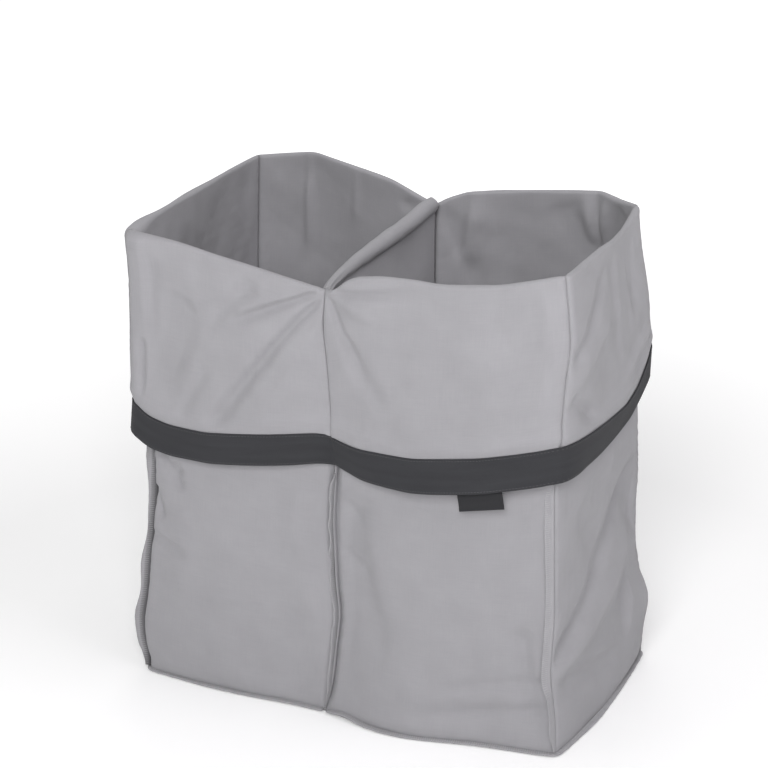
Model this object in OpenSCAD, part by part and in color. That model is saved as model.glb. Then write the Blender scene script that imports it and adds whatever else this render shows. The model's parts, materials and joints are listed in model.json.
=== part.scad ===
// Two-compartment laundry sorter bag with a turned-down cuff.
// Millimetres, +Z up, +X to the right and +Y to the back. The origin is the middle of the footprint, on the floor.
// A station is a place along a wall, written [k, u]: span k runs from corner line k to the next one, and u is
// how far along the span the place is.

/* [Body] */
// Width between the corner lines on the floor
floor_w = 524; // [420:1:640]
// Depth between the corner lines on the floor
floor_d = 300; // [240:1:380]
// Width between the corner lines at the rim
rim_w = 534; // [430:1:660]
// Depth between the corner lines at the rim
rim_d = 330; // [260:1:420]
// How far the corner lines stand back of the middle, because the front swells out more than the back
set_back = 3; // [0:0.5:8]
// Height of the rim at the right corners
rim_h = 600; // [480:1:720]
// How much lower the rim is at the left front corner
rim_drop = 10; // [0:1:30]
// How far a wall swells out at the floor
floor_swell = 5; // [0:1:12]
// How far a wall swells out at the rim
rim_swell = 8; // [0:1:12]
// How much more a wall swells out at half height
belly = 12; // [0:1:24]
// Length of the slanted wall across the right back corner at the floor
floor_chamfer = 16; // [8:1:40]
// Length of the slanted wall across the right back corner at the rim
rim_chamfer = 100; // [20:1:130]

/* [Divider] */
// How far the front end of the divider stands left of the middle
front_shift = 18; // [0:1:40]
// How far the back end of the divider stands left of the middle
back_shift = 10; // [0:1:40]
// How far the divider pulls the walls in at the floor
floor_pinch = 8; // [0:1:30]
// How far the divider pulls the back wall in at the rim
back_pinch = 26; // [0:1:50]
// How far the rim dips at the front end of the divider
front_dip = 52; // [20:1:90]
// How far the rim dips at the back end of the divider
back_dip = 32; // [10:1:80]
// Outer radius of the round sleeve on top of the divider
sleeve_r = 8.5; // [6:0.5:14]

/* [Cloth] */
// Thickness of the cloth
cloth_t = 1.5; // [1:0.1:2.5]
// Radius of the fold at the rim, at the middle of the cloth
fold_r = 3.2; // [2:0.1:5]
// How far the hem of the cuff stands off the wall
cuff_gap = 13; // [11:0.5:20]
// Width of the seam allowance that is turned outwards
seam_w = 8; // [5:0.5:10]
// Thickness of an overlocked seam edge
seam_t = 3; // [2:0.1:4]

/* [Hem band] */
// Height of the webbing band
band_h = 42; // [25:1:60]
// Thickness of the webbing band
band_t = 2; // [1:0.1:3]
// Height of the hem at the left front corner
hem_h = 318; // [250:1:360]
// How much higher the hem is at the front end of the divider
hem_rise_centre = 6; // [0:1:40]
// How much higher the hem is at the right front corner
hem_rise_front = 44; // [0:1:60]
// How much higher the hem is at the right back corner
hem_rise_back = 80; // [0:1:100]
// How much higher the hem is at the left back corner
hem_rise_left = 26; // [0:1:60]

/* [Label] */
// Width of the label
label_w = 57; // [30:1:80]
// Length of the label below the band
label_h = 21; // [12:1:30]
// Thickness of each ply of the folded label
label_t = 0.5; // [0.3:0.1:0.8]
// How far along the right front wall the middle of the label is
label_u = 0.66; // [0.3:0.01:0.8]

/* [Hidden] */

touch = 0.2;          // gap between sewn pieces
clear = 0.5;          // gap between pieces that are not sewn together
bore_gap = 0.15;      // gap round the filler roll in its sleeve
thread_t = 0.6;       // thickness of a row of thread
tack_w = 8;           // width of the bar tack at each end of the sleeve
tack_h = 3;           // height of that bar tack
sleeve_end_gap = 3;   // gap from each end of the sleeve to the wall
stitch_in = 3;        // distance of a row of thread from the edge it follows
band_lap = 30;        // how far the end of the band laps over its start
lap_ramp = 16;        // length over which the lapping end climbs
tuck = 34;            // how far a corner seam runs up under the cuff
wall_levels = 8;      // rows of facets up a wall
cuff_levels = 4;      // rows of facets down a cuff
fold_steps = 4;       // facets round the fold at the rim
seam_levels = 8;      // rows of facets up a corner seam

half_t = cloth_t / 2;
foot_z = cloth_t + touch;
band_in = cuff_gap + half_t + touch;
band_out = band_in + band_t;
seam_out = min(seam_w + seam_t, cuff_gap - half_t - clear);
rim_x = rim_w / 2;
rim_front = set_back - rim_d / 2;
rim_back = set_back + rim_d / 2;
floor_x = floor_w / 2;
floor_front = set_back - floor_d / 2;
floor_back = set_back + floor_d / 2;
floor_cut = floor_chamfer * sin(45);
rim_cut = rim_chamfer * sin(45);

// The corner lines, anticlockwise as seen from above:
// [place on the floor, place at the rim, height of the rim, height of the hem]
FL = 0; FC = 1; FR = 2; BR = 3; CR = 4; BC = 5; BL = 6;
lines = [
    [[-floor_x, floor_front], [-rim_x, rim_front], rim_h - rim_drop, hem_h],
    [
        [-front_shift, floor_front + floor_pinch], [-front_shift, rim_front],
        rim_h - front_dip, hem_h + hem_rise_centre
    ],
    [[floor_x, floor_front], [rim_x, rim_front], rim_h, hem_h + hem_rise_front],
    [[floor_x, floor_back - floor_cut], [rim_x, rim_back - rim_cut], rim_h, hem_h + hem_rise_back],
    [[floor_x - floor_cut, floor_back], [rim_x - rim_cut, rim_back], rim_h, hem_h + hem_rise_back],
    [
        [-back_shift, floor_back - floor_pinch], [-back_shift, rim_back - back_pinch],
        rim_h - back_dip, hem_h + hem_rise_front
    ],
    [[-floor_x, floor_back], [-rim_x, rim_back], rim_h, hem_h + hem_rise_left]
];
n_lines = len(lines);
// For each span: facets along it, its share of the swell, and the powers of u that its rim and its hem follow.
// A power under 1 climbs at once and then levels out, and one over 1 stays level first.
span_facets = [12, 12, 8, 2, 12, 12, 8];
span_swell = [1, 1, 0.3, 0, 1, 1, 0.3];
rim_power = [1, 0.4, 1, 1, 6, 0.4, 1];
hem_power = [1, 2, 1, 1, 1, 1, 1];
swell_power = 0.75;   // under 1 makes the walls rounder at the corner lines

function mix(a, b, t) = a + (b - a) * t;
function unit(a) = a / norm(a);
function outward(d) = [d.y, -d.x] / norm(d);
function line_at(k, v) = mix(lines[k % n_lines][0], lines[k % n_lines][1], v);
function span_normal(k, v) = outward(line_at(k + 1, v) - line_at(k, v));

// How a corner line moves when both its walls move out by 1
function mitre(k, v) =
    let (a = span_normal((k + n_lines - 1) % n_lines, v), b = span_normal(k % n_lines, v))
    (a + b) / (1 + a * b);

function swell(v) = mix(floor_swell, rim_swell, v) + belly * 4 * v * (1 - v);

// A point of a wall at height z, at a distance outside the middle of the cloth
function wall_point(k, u, z, distance) =
    let (v = max(0, min(1, z / rim_h)))
    let (chord = mix(line_at(k, v), line_at(k + 1, v), u))
    let (bulge = span_normal(k, v) * span_swell[k] * swell(v) * pow(sin(180 * u), swell_power))
    let (offset = mix(mitre(k, v), mitre(k + 1, v), u) * distance)
    let (p = chord + bulge + offset)
    [p.x, p.y, z];

function rim_at(k, u) = mix(lines[k][2], lines[(k + 1) % n_lines][2], pow(u, rim_power[k]));
function hem_at(k, u) = mix(lines[k][3], lines[(k + 1) % n_lines][3], pow(u, hem_power[k]));

// A length along a span, as a share of the span
function share(k, length) = length / norm(line_at(k + 1, 0.5) - line_at(k, 0.5));

// The stations of a run of spans. The run starts and ends at these lengths from its first and last corner lines.
function stations(spans, start = touch, end = touch) = [
    for (i = [0:len(spans) - 1])
        let (k = spans[i], n = span_facets[k], first = i == 0, last = i == len(spans) - 1)
        let (from = first ? share(k, start) : 0, to = last ? 1 - share(k, end) : 1)
        each concat(
            [[k, from]],
            [for (j = [1:n - 1]) if (j / n > from + 0.01 && j / n < to - 0.01) [k, j / n]],
            last ? [[k, to]] : []
        )
];

// One face of the cloth in section, as [distance, height]: the turned-out foot, the wall, the fold and the cuff.
// Face -1 shows inside the bag and on the cuff. Face 1 is the other one.
function cloth_face(face, rim, hem) =
    let (top = rim - fold_r - half_t, r = fold_r - face * half_t, foot = foot_z + half_t + face * half_t)
    let (straight = hem + band_h + touch)
    concat(
        [[seam_w, foot]],
        [for (i = [0:wall_levels]) [face * half_t, mix(foot, top, i / wall_levels)]],
        [for (i = [1:fold_steps - 1]) let (a = 180 - 180 * i / fold_steps) [fold_r + r * cos(a), top + r * sin(a)]],
        [for (i = [0:cuff_levels])
            [mix(2 * fold_r, cuff_gap, i / cuff_levels) - face * half_t, mix(top, straight, i / cuff_levels)]],
        [[cuff_gap - face * half_t, hem]]
    );

function reversed(list) = [for (i = [len(list) - 1:-1:0]) list[i]];
function cloth_section(rim, hem) = concat(cloth_face(-1, rim, hem), reversed(cloth_face(1, rim, hem)));
function box_section(d0, d1, z0, z1) = [[d0, z0], [d0, z1], [d1, z1], [d1, z0]];
function ring_at(s, section) = [for (p = section) wall_point(s[0], s[1], p[1], p[0])];

// One solid through a list of rings of equal length. The second half of a ring runs back along the first half.
module loft(rings) {
    n = len(rings);
    m = len(rings[0]);
    last = (n - 1) * m;
    sides = [
        for (i = [0:n - 2]) for (j = [0:m - 1])
            let (a = i * m + j, b = i * m + (j + 1) % m)
            each [[a, b + m, b], [a, a + m, b + m]]
    ];
    start = [for (j = [0:m / 2 - 2]) each [[j, j + 1, m - 2 - j], [j, m - 2 - j, m - 1 - j]]];
    finish = [for (f = start) [last + f[2], last + f[1], last + f[0]]];
    polyhedron([for (r = rings) each r], concat(sides, start, finish), convexity = 8);
}

// One cut piece of cloth with its foot, fold and cuff, over a run of spans
module cloth_panel(spans) {
    color([0.66, 0.66, 0.67])
        loft([for (s = stations(spans)) ring_at(s, cloth_section(rim_at(s[0], s[1]), hem_at(s[0], s[1])))]);
}

module front_panel_left() cloth_panel([FL]);
module front_panel_right() cloth_panel([FC]);
module side_panel_right() cloth_panel([FR]);
module back_panel_right() cloth_panel([BR, CR]);
module back_panel_left() cloth_panel([BC]);
module side_panel_left() cloth_panel([BL]);

// The walls round each compartment. The divider's line closes the run.
left_walls = [BC, BL, FL];
right_walls = [FC, FR, BR, CR];

module base_panel(spans) {
    edge = [for (s = stations(spans)) let (p = wall_point(s[0], s[1], 0, seam_w)) [p.x, p.y]];
    color([0.6, 0.6, 0.62]) linear_extrude(cloth_t) polygon(edge);
}

module base_panel_left() base_panel(left_walls);
module base_panel_right() base_panel(right_walls);

// The overlocked edge where the floor of a compartment is sewn to its walls
module base_seam(spans) {
    section = box_section(seam_w + touch, seam_w + touch + seam_t, touch, foot_z + cloth_t);
    color([0.72, 0.72, 0.73]) loft([for (s = stations(spans)) ring_at(s, section)]);
}

module base_seam_left() base_seam(left_walls);
module base_seam_right() base_seam(right_walls);

// The overlocked edge that stands out along a corner line, below the cuff
module corner_seam(k) {
    bottom = foot_z + cloth_t + touch;
    top = lines[k][3] + tuck;
    color([0.72, 0.72, 0.73])
        loft([
            for (i = [0:seam_levels])
                let (z = mix(bottom, top, i / seam_levels), m = mitre(k, z / rim_h), c = line_at(k, z / rim_h))
                let (out = unit(m), across = [-out.y, out.x] * seam_t / 2, inner = half_t * norm(m) + 1)
                [
                    for (q = [[inner, -1], [seam_out, -1], [seam_out, 1], [inner, 1]])
                        let (p = c + out * q[0] + across * q[1]) [p.x, p.y, z]
                ]
        ]);
}

module seam_front_left() corner_seam(FL);
module seam_front_centre() corner_seam(FC);
module seam_front_right() corner_seam(FR);
module seam_back_right() corner_seam(BR);
module seam_back_centre() corner_seam(BC);
module seam_back_left() corner_seam(BL);

// One end of the divider, at a distance inside its corner line
function divider_end(k, v, inside) =
    let (here = line_at(k, v), there = line_at(k == FC ? BC : FC, v))
    here + unit(there - here) * inside;

// A point of the divider: u from front to back, height z, and a distance to its right
function divider_point(u, z, right, inside) =
    let (a = divider_end(FC, z / rim_h, inside), b = divider_end(BC, z / rim_h, inside))
    let (p = mix(a, b, u) + outward(b - a) * right)
    [p.x, p.y, z];

function sleeve_end(k) =
    let (z = lines[k][2] - fold_r - half_t, p = divider_end(k, z / rim_h, half_t + sleeve_end_gap))
    [p.x, p.y, z];

sleeve_front = sleeve_end(FC);
sleeve_back = sleeve_end(BC);
sleeve_len = norm(sleeve_back - sleeve_front);
sleeve_bore = sleeve_r - cloth_t;

function divider_top(u) = mix(sleeve_front.z, sleeve_back.z, u) - sleeve_r - touch;

module divider_panel() {
    facets = 4;
    color([0.6, 0.6, 0.62])
        loft([
            for (i = [0:facets])
                let (u = i / facets)
                let (column = [for (j = [0:seam_levels]) mix(foot_z, divider_top(u), j / seam_levels)])
                concat(
                    [for (z = column) divider_point(u, z, -half_t, half_t + clear)],
                    [for (z = reversed(column)) divider_point(u, z, half_t, half_t + clear)]
                )
        ]);
}

// Stands a shape that is drawn along +Z on the line from a to b
module along(a, b) {
    d = b - a;
    translate(a)
        rotate([0, acos(d.z / norm(d)), atan2(d.y, d.x)])
            children();
}

module divider_sleeve() {
    color([0.68, 0.68, 0.69])
        along(sleeve_front, sleeve_back)
            difference() {
                cylinder(r = sleeve_r, h = sleeve_len, $fn = 48);
                translate([0, 0, -1]) cylinder(r = sleeve_bore, h = sleeve_len + 2, $fn = 48);
            }
}

module sleeve_core() {
    color("white")
        along(sleeve_front, sleeve_back)
            translate([0, 0, 2]) cylinder(r = sleeve_bore - bore_gap, h = sleeve_len - 4, $fn = 48);
}

// The rows of thread on both faces of the divider, just under the sleeve
module sleeve_stitching() {
    color([0.85, 0.85, 0.85])
        for (face = [-1, 1])
            loft([
                for (u = [0, 1])
                    let (z = divider_top(u) - stitch_in, d = face * (half_t + touch + thread_t / 2))
                    [
                        for (q = [[-1, -1], [-1, 1], [1, 1], [1, -1]])
                            divider_point(u, z + q[1] * thread_t / 2, d + q[0] * thread_t / 2, tack_w)
                    ]
            ]);
}

// The bar tacks that hold the ends of the sleeve to the walls
module sleeve_end_tacks() {
    color([0.85, 0.85, 0.85])
        for (ends = [[sleeve_front, sleeve_back], [sleeve_back, sleeve_front]])
            along(ends[0], 2 * ends[0] - ends[1])
                translate([-tack_h / 2, -tack_w / 2, touch]) cube([tack_h, tack_w, sleeve_end_gap - 3 * touch]);
}

// A strip round the whole bag that follows the hem. It starts and ends at these lengths from the middle of the back.
module hem_strip(start, end, d0, d1, z0, z1, lap = []) {
    run = concat([for (s = stations([BC, BL, FL, FC, FR, BR, CR], start, end)) [s[0], s[1], 0]], lap);
    color([0.27, 0.27, 0.28])
        loft([
            for (s = run)
                let (hem = hem_at(s[0], s[1]))
                ring_at(s, box_section(d0 + s[2], d1 + s[2], hem + z0, hem + z1))
        ]);
}

// The band goes once round, and its end climbs over its start
module hem_band() {
    climb = band_t + clear;
    lap = [for (s = stations([BC], 0)) if (s[1] < share(BC, band_lap)) [BC, s[1], climb], [BC, share(BC, band_lap), climb]];
    hem_strip(0, lap_ramp, band_in, band_out, 0, band_h, lap);
}

// Two rows of thread along the band
module band_stitching() {
    for (z = [stitch_in, band_h - stitch_in])
        hem_strip(band_lap + 2 * tack_h, lap_ramp + 2 * tack_h,
            band_out + touch, band_out + touch + thread_t, z - thread_t / 2, z + thread_t / 2);
}

// The folded label hangs from the lower edge of the band. It turns about its upper edge.
label_half = share(FC, label_w / 2);
label_d = band_in + band_t / 2;
label_a = wall_point(FC, label_u - label_half, hem_at(FC, label_u - label_half), label_d);
label_b = wall_point(FC, label_u + label_half, hem_at(FC, label_u + label_half), label_d);
label_gap = 0.2;      // gap between the two plies of the label
label_drop = 1.6;     // distance from the band to the label

module label_tab() {
    t = label_t + label_gap / 2;
    along_x = label_b - label_a;
    color([0.27, 0.27, 0.28])
        translate((label_a + label_b) / 2)
            rotate([0, 0, atan2(along_x.y, along_x.x)])
                rotate([0, -asin(along_x.z / norm(along_x)), 0])
                    translate([-label_w / 2, -t, -label_drop - label_h])
                        difference() {
                            cube([label_w, 2 * t, label_h]);
                            translate([-1, label_t, label_t]) cube([label_w + 2, label_gap, label_h]);
                        }
}

front_panel_left();
front_panel_right();
side_panel_right();
back_panel_right();
back_panel_left();
side_panel_left();
base_panel_left();
base_panel_right();
divider_panel();
divider_sleeve();
sleeve_core();
sleeve_stitching();
sleeve_end_tacks();
hem_band();
band_stitching();
label_tab();
seam_front_left();
seam_front_centre();
seam_front_right();
seam_back_right();
seam_back_centre();
seam_back_left();
base_seam_left();
base_seam_right();
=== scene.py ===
"""Looks of a two-compartment laundry sorter bag with a turned-down cuff.

Lengths are in metres. +X is to the right, +Y to the back and +Z up, as in the frame, with the origin on the
floor. A place round the bag is a single number, its station: the corner lines are at 0, 1, 2 and so on,
anticlockwise from the left front one, and a wall runs between two of them. A way is the distance walked round
the bag from the left front corner line.
"""

import json
import logging
import math
from dataclasses import dataclass, field
from enum import Enum, IntEnum

import bpy
import numpy as np
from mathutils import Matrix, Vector


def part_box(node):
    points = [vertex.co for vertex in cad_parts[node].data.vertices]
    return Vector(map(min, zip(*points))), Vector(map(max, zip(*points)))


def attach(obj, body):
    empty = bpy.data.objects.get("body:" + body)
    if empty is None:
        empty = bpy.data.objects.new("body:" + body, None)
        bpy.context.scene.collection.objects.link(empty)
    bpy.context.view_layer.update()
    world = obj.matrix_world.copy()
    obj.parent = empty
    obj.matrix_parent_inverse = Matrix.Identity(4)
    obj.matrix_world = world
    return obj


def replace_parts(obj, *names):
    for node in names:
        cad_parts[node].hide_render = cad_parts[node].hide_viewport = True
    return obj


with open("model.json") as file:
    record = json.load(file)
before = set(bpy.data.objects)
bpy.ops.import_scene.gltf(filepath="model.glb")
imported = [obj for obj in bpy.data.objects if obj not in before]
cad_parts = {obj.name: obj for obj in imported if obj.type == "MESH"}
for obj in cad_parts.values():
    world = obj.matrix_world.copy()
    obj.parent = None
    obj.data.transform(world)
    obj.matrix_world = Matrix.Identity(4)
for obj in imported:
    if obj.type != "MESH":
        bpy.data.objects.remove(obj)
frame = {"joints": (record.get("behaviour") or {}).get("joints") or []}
log = logging.getLogger("laundry_sorter")
Array = np.ndarray
Pair = tuple[float, float]
Triple = tuple[float, float, float]
Piece = bpy.types.Object
Socket = bpy.types.NodeSocket
UP = np.array([0.0, 0.0, 1.0])
SAMPLES = 1000  # samples of the plan curve per metre of wall


# ---------------------------------------------------------------- numbers on arrays


def mix(a: Array | float, b: Array | float, t: Array | float) -> Array | float:
    """A value that goes from a to b as t goes from 0 to 1."""
    return a + (b - a) * t


def smooth(low: float, high: float, x: Array | float) -> Array:
    """An S-shaped step: 0 below low, 1 above high, and 3t^2 - 2t^3 between them."""
    t = np.clip((np.asarray(x, float) - low) / (high - low), 0.0, 1.0)
    return t * t * (3.0 - 2.0 * t)


def bump(x: Array, centre: float, width: float) -> Array:
    """A bell: 1 at the centre, and exp(-1) one width away from it."""
    return np.exp(-(((x - centre) / width) ** 2))


def smaller(a: Array, b: Array | float, soft: float) -> Array:
    """The smaller of two numbers, rounded where they cross: half of a + b - sqrt((a - b)^2 + soft^2)."""
    return (a + b - np.sqrt((a - b) ** 2 + soft**2)) / 2


def larger(a: Array, b: Array | float, soft: float) -> Array:
    """The larger of two numbers, rounded where they cross: half of a + b + sqrt((a - b)^2 + soft^2)."""
    return (a + b + np.sqrt((a - b) ** 2 + soft**2)) / 2


def unit(v: Array) -> Array:
    """Vectors of length 1, along the last axis."""
    return v / np.maximum(np.linalg.norm(v, axis=-1, keepdims=True), 1e-12)


def ripple(a: Array, z: Array, size: float, seed: int) -> Array:
    """Smooth unevenness of cloth: the mean of seven sine waves that run in seeded directions.

    Args:
        a: Distance along the cloth.
        z: Distance up the cloth.
        size: Mean wavelength.
        seed: Seed of the directions, wavelengths and phases.

    Returns:
        Heights from about -1 to 1.
    """
    rng = np.random.default_rng(seed)
    total = np.zeros(np.broadcast(a, z).shape)
    for turn, stretch, phase in rng.uniform([0, 0.7, 0], [math.pi, 1.6, 2 * math.pi], (7, 3)):
        total += np.sin((a * math.cos(turn) + z * math.sin(turn)) * 2 * math.pi / (size * stretch) + phase)
    return total / math.sqrt(14)


def blurred(loop: Array, half: int) -> Array:
    """A closed loop's moving average, weighted by a raised cosine that reaches this many samples each way.

    Args:
        loop: Closed loops of places, along the last axis but one.
        half: How many samples the average reaches each way.

    Returns:
        The averaged loops.
    """
    kernel = np.zeros(loop.shape[-2])
    weights = 1 + np.cos(np.linspace(-math.pi, math.pi, 2 * half + 1))
    kernel[: half + 1] = weights[half:]
    kernel[-half:] = weights[:half]
    spectrum = np.fft.rfft(kernel / weights.sum())[:, None]
    return np.fft.irfft(np.fft.rfft(loop, axis=-2) * spectrum, n=loop.shape[-2], axis=-2)


# ---------------------------------------------------------------- meshes


def surface(name: str, points: Array, uv: Array, closed: tuple[bool, bool] = (False, False)) -> Piece:
    """A smooth mesh on a grid of points.

    Args:
        name: The piece's name.
        points: Grid of places, rows by columns by 3. A face's outer side is where rows x columns turn
            anticlockwise.
        uv: Grid of places on the flat cloth, in metres, for the weave.
        closed: Whether the last row joins the first, and the last column the first.

    Returns:
        The new object, at the origin.
    """
    rows, columns = points.shape[:2]
    i, j = np.meshgrid(np.arange(rows - (not closed[0])), np.arange(columns - (not closed[1])), indexing="ij")
    down, across = (i + 1) % rows, (j + 1) % columns
    quads = np.stack([i * columns + j, i * columns + across, down * columns + across, down * columns + j], -1)
    corner_uv = np.stack([uv[i, j], uv[i, across], uv[down, across], uv[down, j]], -2)
    return mesh_object(name, points.reshape(-1, 3), quads.reshape(-1, 4), corner_uv.reshape(-1, 2))


def mesh_object(name: str, points: Array, quads: Array, corner_uv: Array | None = None) -> Piece:
    """A smooth mesh from points and four-sided faces, with a UV for each face corner.

    Args:
        name: The piece's name.
        points: Places, points by 3.
        quads: Numbers of each face's four points.
        corner_uv: Places on the flat cloth for the faces' corners, in order.

    Returns:
        The new object, at the origin.
    """
    mesh = bpy.data.meshes.new(name)
    mesh.from_pydata(points, [], quads)
    if corner_uv is not None:
        layer = mesh.uv_layers.new(name="cloth")
        layer.data.foreach_set("uv", np.ascontiguousarray(corner_uv, np.float32).ravel())
    mesh.polygons.foreach_set("use_smooth", np.ones(len(mesh.polygons), bool))
    mesh.update()
    piece = bpy.data.objects.new(name, mesh)
    bpy.context.scene.collection.objects.link(piece)
    return piece


def thicken(piece: Piece, thickness: float) -> Piece:
    """Gives a sheet its thickness, half on each side.

    Args:
        piece: The sheet.
        thickness: Its thickness.

    Returns:
        The same piece.
    """
    solid = piece.modifiers.new("thickness", "SOLIDIFY")
    solid.thickness = thickness
    solid.offset = 0.0
    solid.use_even_offset = False
    return piece


def tube(name: str, path: Array, radius: Array | float, sides: int) -> Piece:
    """A round tube along a path, with ends that are drawn in to a point.

    Each ring is centre + radius * (cos a * side + sin a * over), where side and over are square to the path.

    Args:
        name: The piece's name.
        path: Places along the tube's middle.
        radius: Radius, the same all along or one for each place.
        sides: Number of points in a ring.

    Returns:
        The new object.
    """
    along = unit(np.gradient(path, axis=0))
    side = unit(np.cross(along, UP))
    over = np.cross(side, along)
    angle = np.linspace(0, 2 * math.pi, sides, endpoint=False)[None, :, None]
    size = np.broadcast_to(np.asarray(radius, float), (len(path),)).copy()[:, None, None]
    size[[0, -1]] = 1e-5
    rings = path[:, None] + size * (np.cos(angle) * side[:, None] + np.sin(angle) * over[:, None])
    length = np.concatenate([[0], np.cumsum(np.linalg.norm(np.diff(path, axis=0), axis=1))])
    around = np.linspace(0, 2 * math.pi * float(np.mean(size)), sides, endpoint=False)
    uv = np.stack(np.broadcast_arrays(around[None, :], length[:, None]), -1)
    return surface(name, rings, uv, closed=(False, True))


def stitches(name: str, places: Array, along: Array, out: Array, size: Pair) -> Piece:
    """Many short rounded threads in one mesh.

    A stitch is a capsule of rings: its half-width follows a flattened half ellipse along its length, and two
    flat faces close each end.

    Args:
        name: The piece's name.
        places: Middle of each stitch.
        along: Direction of each stitch.
        out: Direction out of the cloth at each stitch.
        size: Length and thickness of a stitch.

    Returns:
        The new object.
    """
    rings, sides = 5, 6
    turn = np.linspace(-0.96, 0.96, rings)
    angle = np.linspace(0, 2 * math.pi, sides, endpoint=False)
    x = np.repeat(turn * size[0] / 2, sides)
    r = np.repeat(np.sqrt(1 - turn**4) * size[1] / 2, sides)
    y, z = r * np.tile(np.cos(angle), rings), r * np.tile(np.sin(angle), rings)
    across = unit(np.cross(out, along))
    points = places[:, None] + x[None, :, None] * along[:, None] + y[None, :, None] * across[:, None]
    points = points + z[None, :, None] * unit(out)[:, None]
    i, j = np.meshgrid(np.arange(rings - 1) * sides, np.arange(sides), indexing="ij")
    after = (j + 1) % sides
    walls = np.stack([i + j, i + after, i + sides + after, i + sides + j], -1).reshape(-1, 4)
    first_cap = np.array([[3, 2, 1, 0], [5, 4, 3, 0]])
    last_cap = np.array([[0, 1, 2, 3], [0, 3, 4, 5]]) + (rings - 1) * sides
    quads = np.concatenate([walls, first_cap, last_cap])
    faces = quads[None] + rings * sides * np.arange(len(places))[:, None, None]
    return mesh_object(name, points.reshape(-1, 3), faces.reshape(-1, 4))


def settle(piece: Piece, node: str, body: str = "bag") -> Piece:
    """The piece moves with the body, and stands for the frame's node."""
    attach(piece, body)
    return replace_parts(piece, node)


# ---------------------------------------------------------------- finishes


class Nodes:
    """A short way to write a material's nodes."""

    def __init__(self, name: str) -> None:
        """Starts a material that has only a Principled BSDF and its output."""
        self.material = bpy.data.materials.new(name + "_finish")
        self.material.use_nodes = True
        self.tree = self.material.node_tree
        self.shader = self.tree.nodes["Principled BSDF"]

    def add(self, kind: str, inputs: dict | None = None, **settings: object) -> bpy.types.Node:
        """Adds a node.

        Args:
            kind: The node's type without "ShaderNode".
            inputs: Socket name or number to a value or to an output socket of another node.
            settings: The node's own properties.

        Returns:
            The new node.
        """
        node = self.tree.nodes.new("ShaderNode" + kind)
        for key, value in settings.items():
            setattr(node, key, value)
        for key, value in (inputs or {}).items():
            if isinstance(value, Socket):
                self.tree.links.new(value, node.inputs[key])
            else:
                node.inputs[key].default_value = value
        return node

    def math(self, operation: str, a: object, b: object = 0.0) -> Socket:
        """Arithmetic on two numbers or sockets."""
        return self.add("Math", {0: a, 1: b}, operation=operation).outputs[0]

    def noise(self, where: object, scale: float, detail: float = 3.0, roughness: float = 0.55) -> Socket:
        """Cloudy noise from 0 to 1."""
        sockets = {"Vector": where, "Scale": scale, "Detail": detail, "Roughness": roughness}
        return self.add("TexNoise", sockets).outputs["Fac"]

    def waves(self, where: object, period: float, direction: str) -> Socket:
        """Even sine bands of this period, from 0 to 1."""
        sockets = {"Vector": where, "Scale": math.pi / 10 / period, "Distortion": 0.6, "Detail": 0.0}
        return self.add("TexWave", sockets, bands_direction=direction).outputs["Fac"]

    def stretched(self, where: object, scale: Triple) -> Socket:
        """Coordinates that are scaled differently along each axis."""
        return self.add("Mapping", {"Vector": where, "Scale": scale}).outputs[0]

    def shade(self, factor: object, dark: Triple, light: Triple) -> Socket:
        """A colour between two, by a factor.

        Args:
            factor: Socket that is 0 for the dark colour and 1 for the light one.
            dark: The dark colour.
            light: The light colour.

        Returns:
            The colour's socket.
        """
        node = self.add("Mix", {0: factor}, data_type="RGBA")
        node.inputs[6].default_value = (*dark, 1.0)
        node.inputs[7].default_value = (*light, 1.0)
        return node.outputs[2]

    def finish(self, colour: object, height: object, depth: float, **sockets: float) -> bpy.types.Material:
        """Joins a colour and a bump height to the shader and sets its constant sockets.

        Args:
            colour: Colour socket.
            height: Height socket, from 0 to 1.
            depth: Depth of the bump, in metres.
            sockets: Constant values, with underscores for spaces in the sockets' names.

        Returns:
            The finished material.
        """
        relief = self.add("Bump", {"Height": height, "Distance": depth, "Strength": 1.0})
        self.tree.links.new(colour, self.shader.inputs["Base Color"])
        self.tree.links.new(relief.outputs[0], self.shader.inputs["Normal"])
        for key, value in sockets.items():
            self.shader.inputs[key.replace("_", " ")].default_value = value
        return self.material


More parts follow.
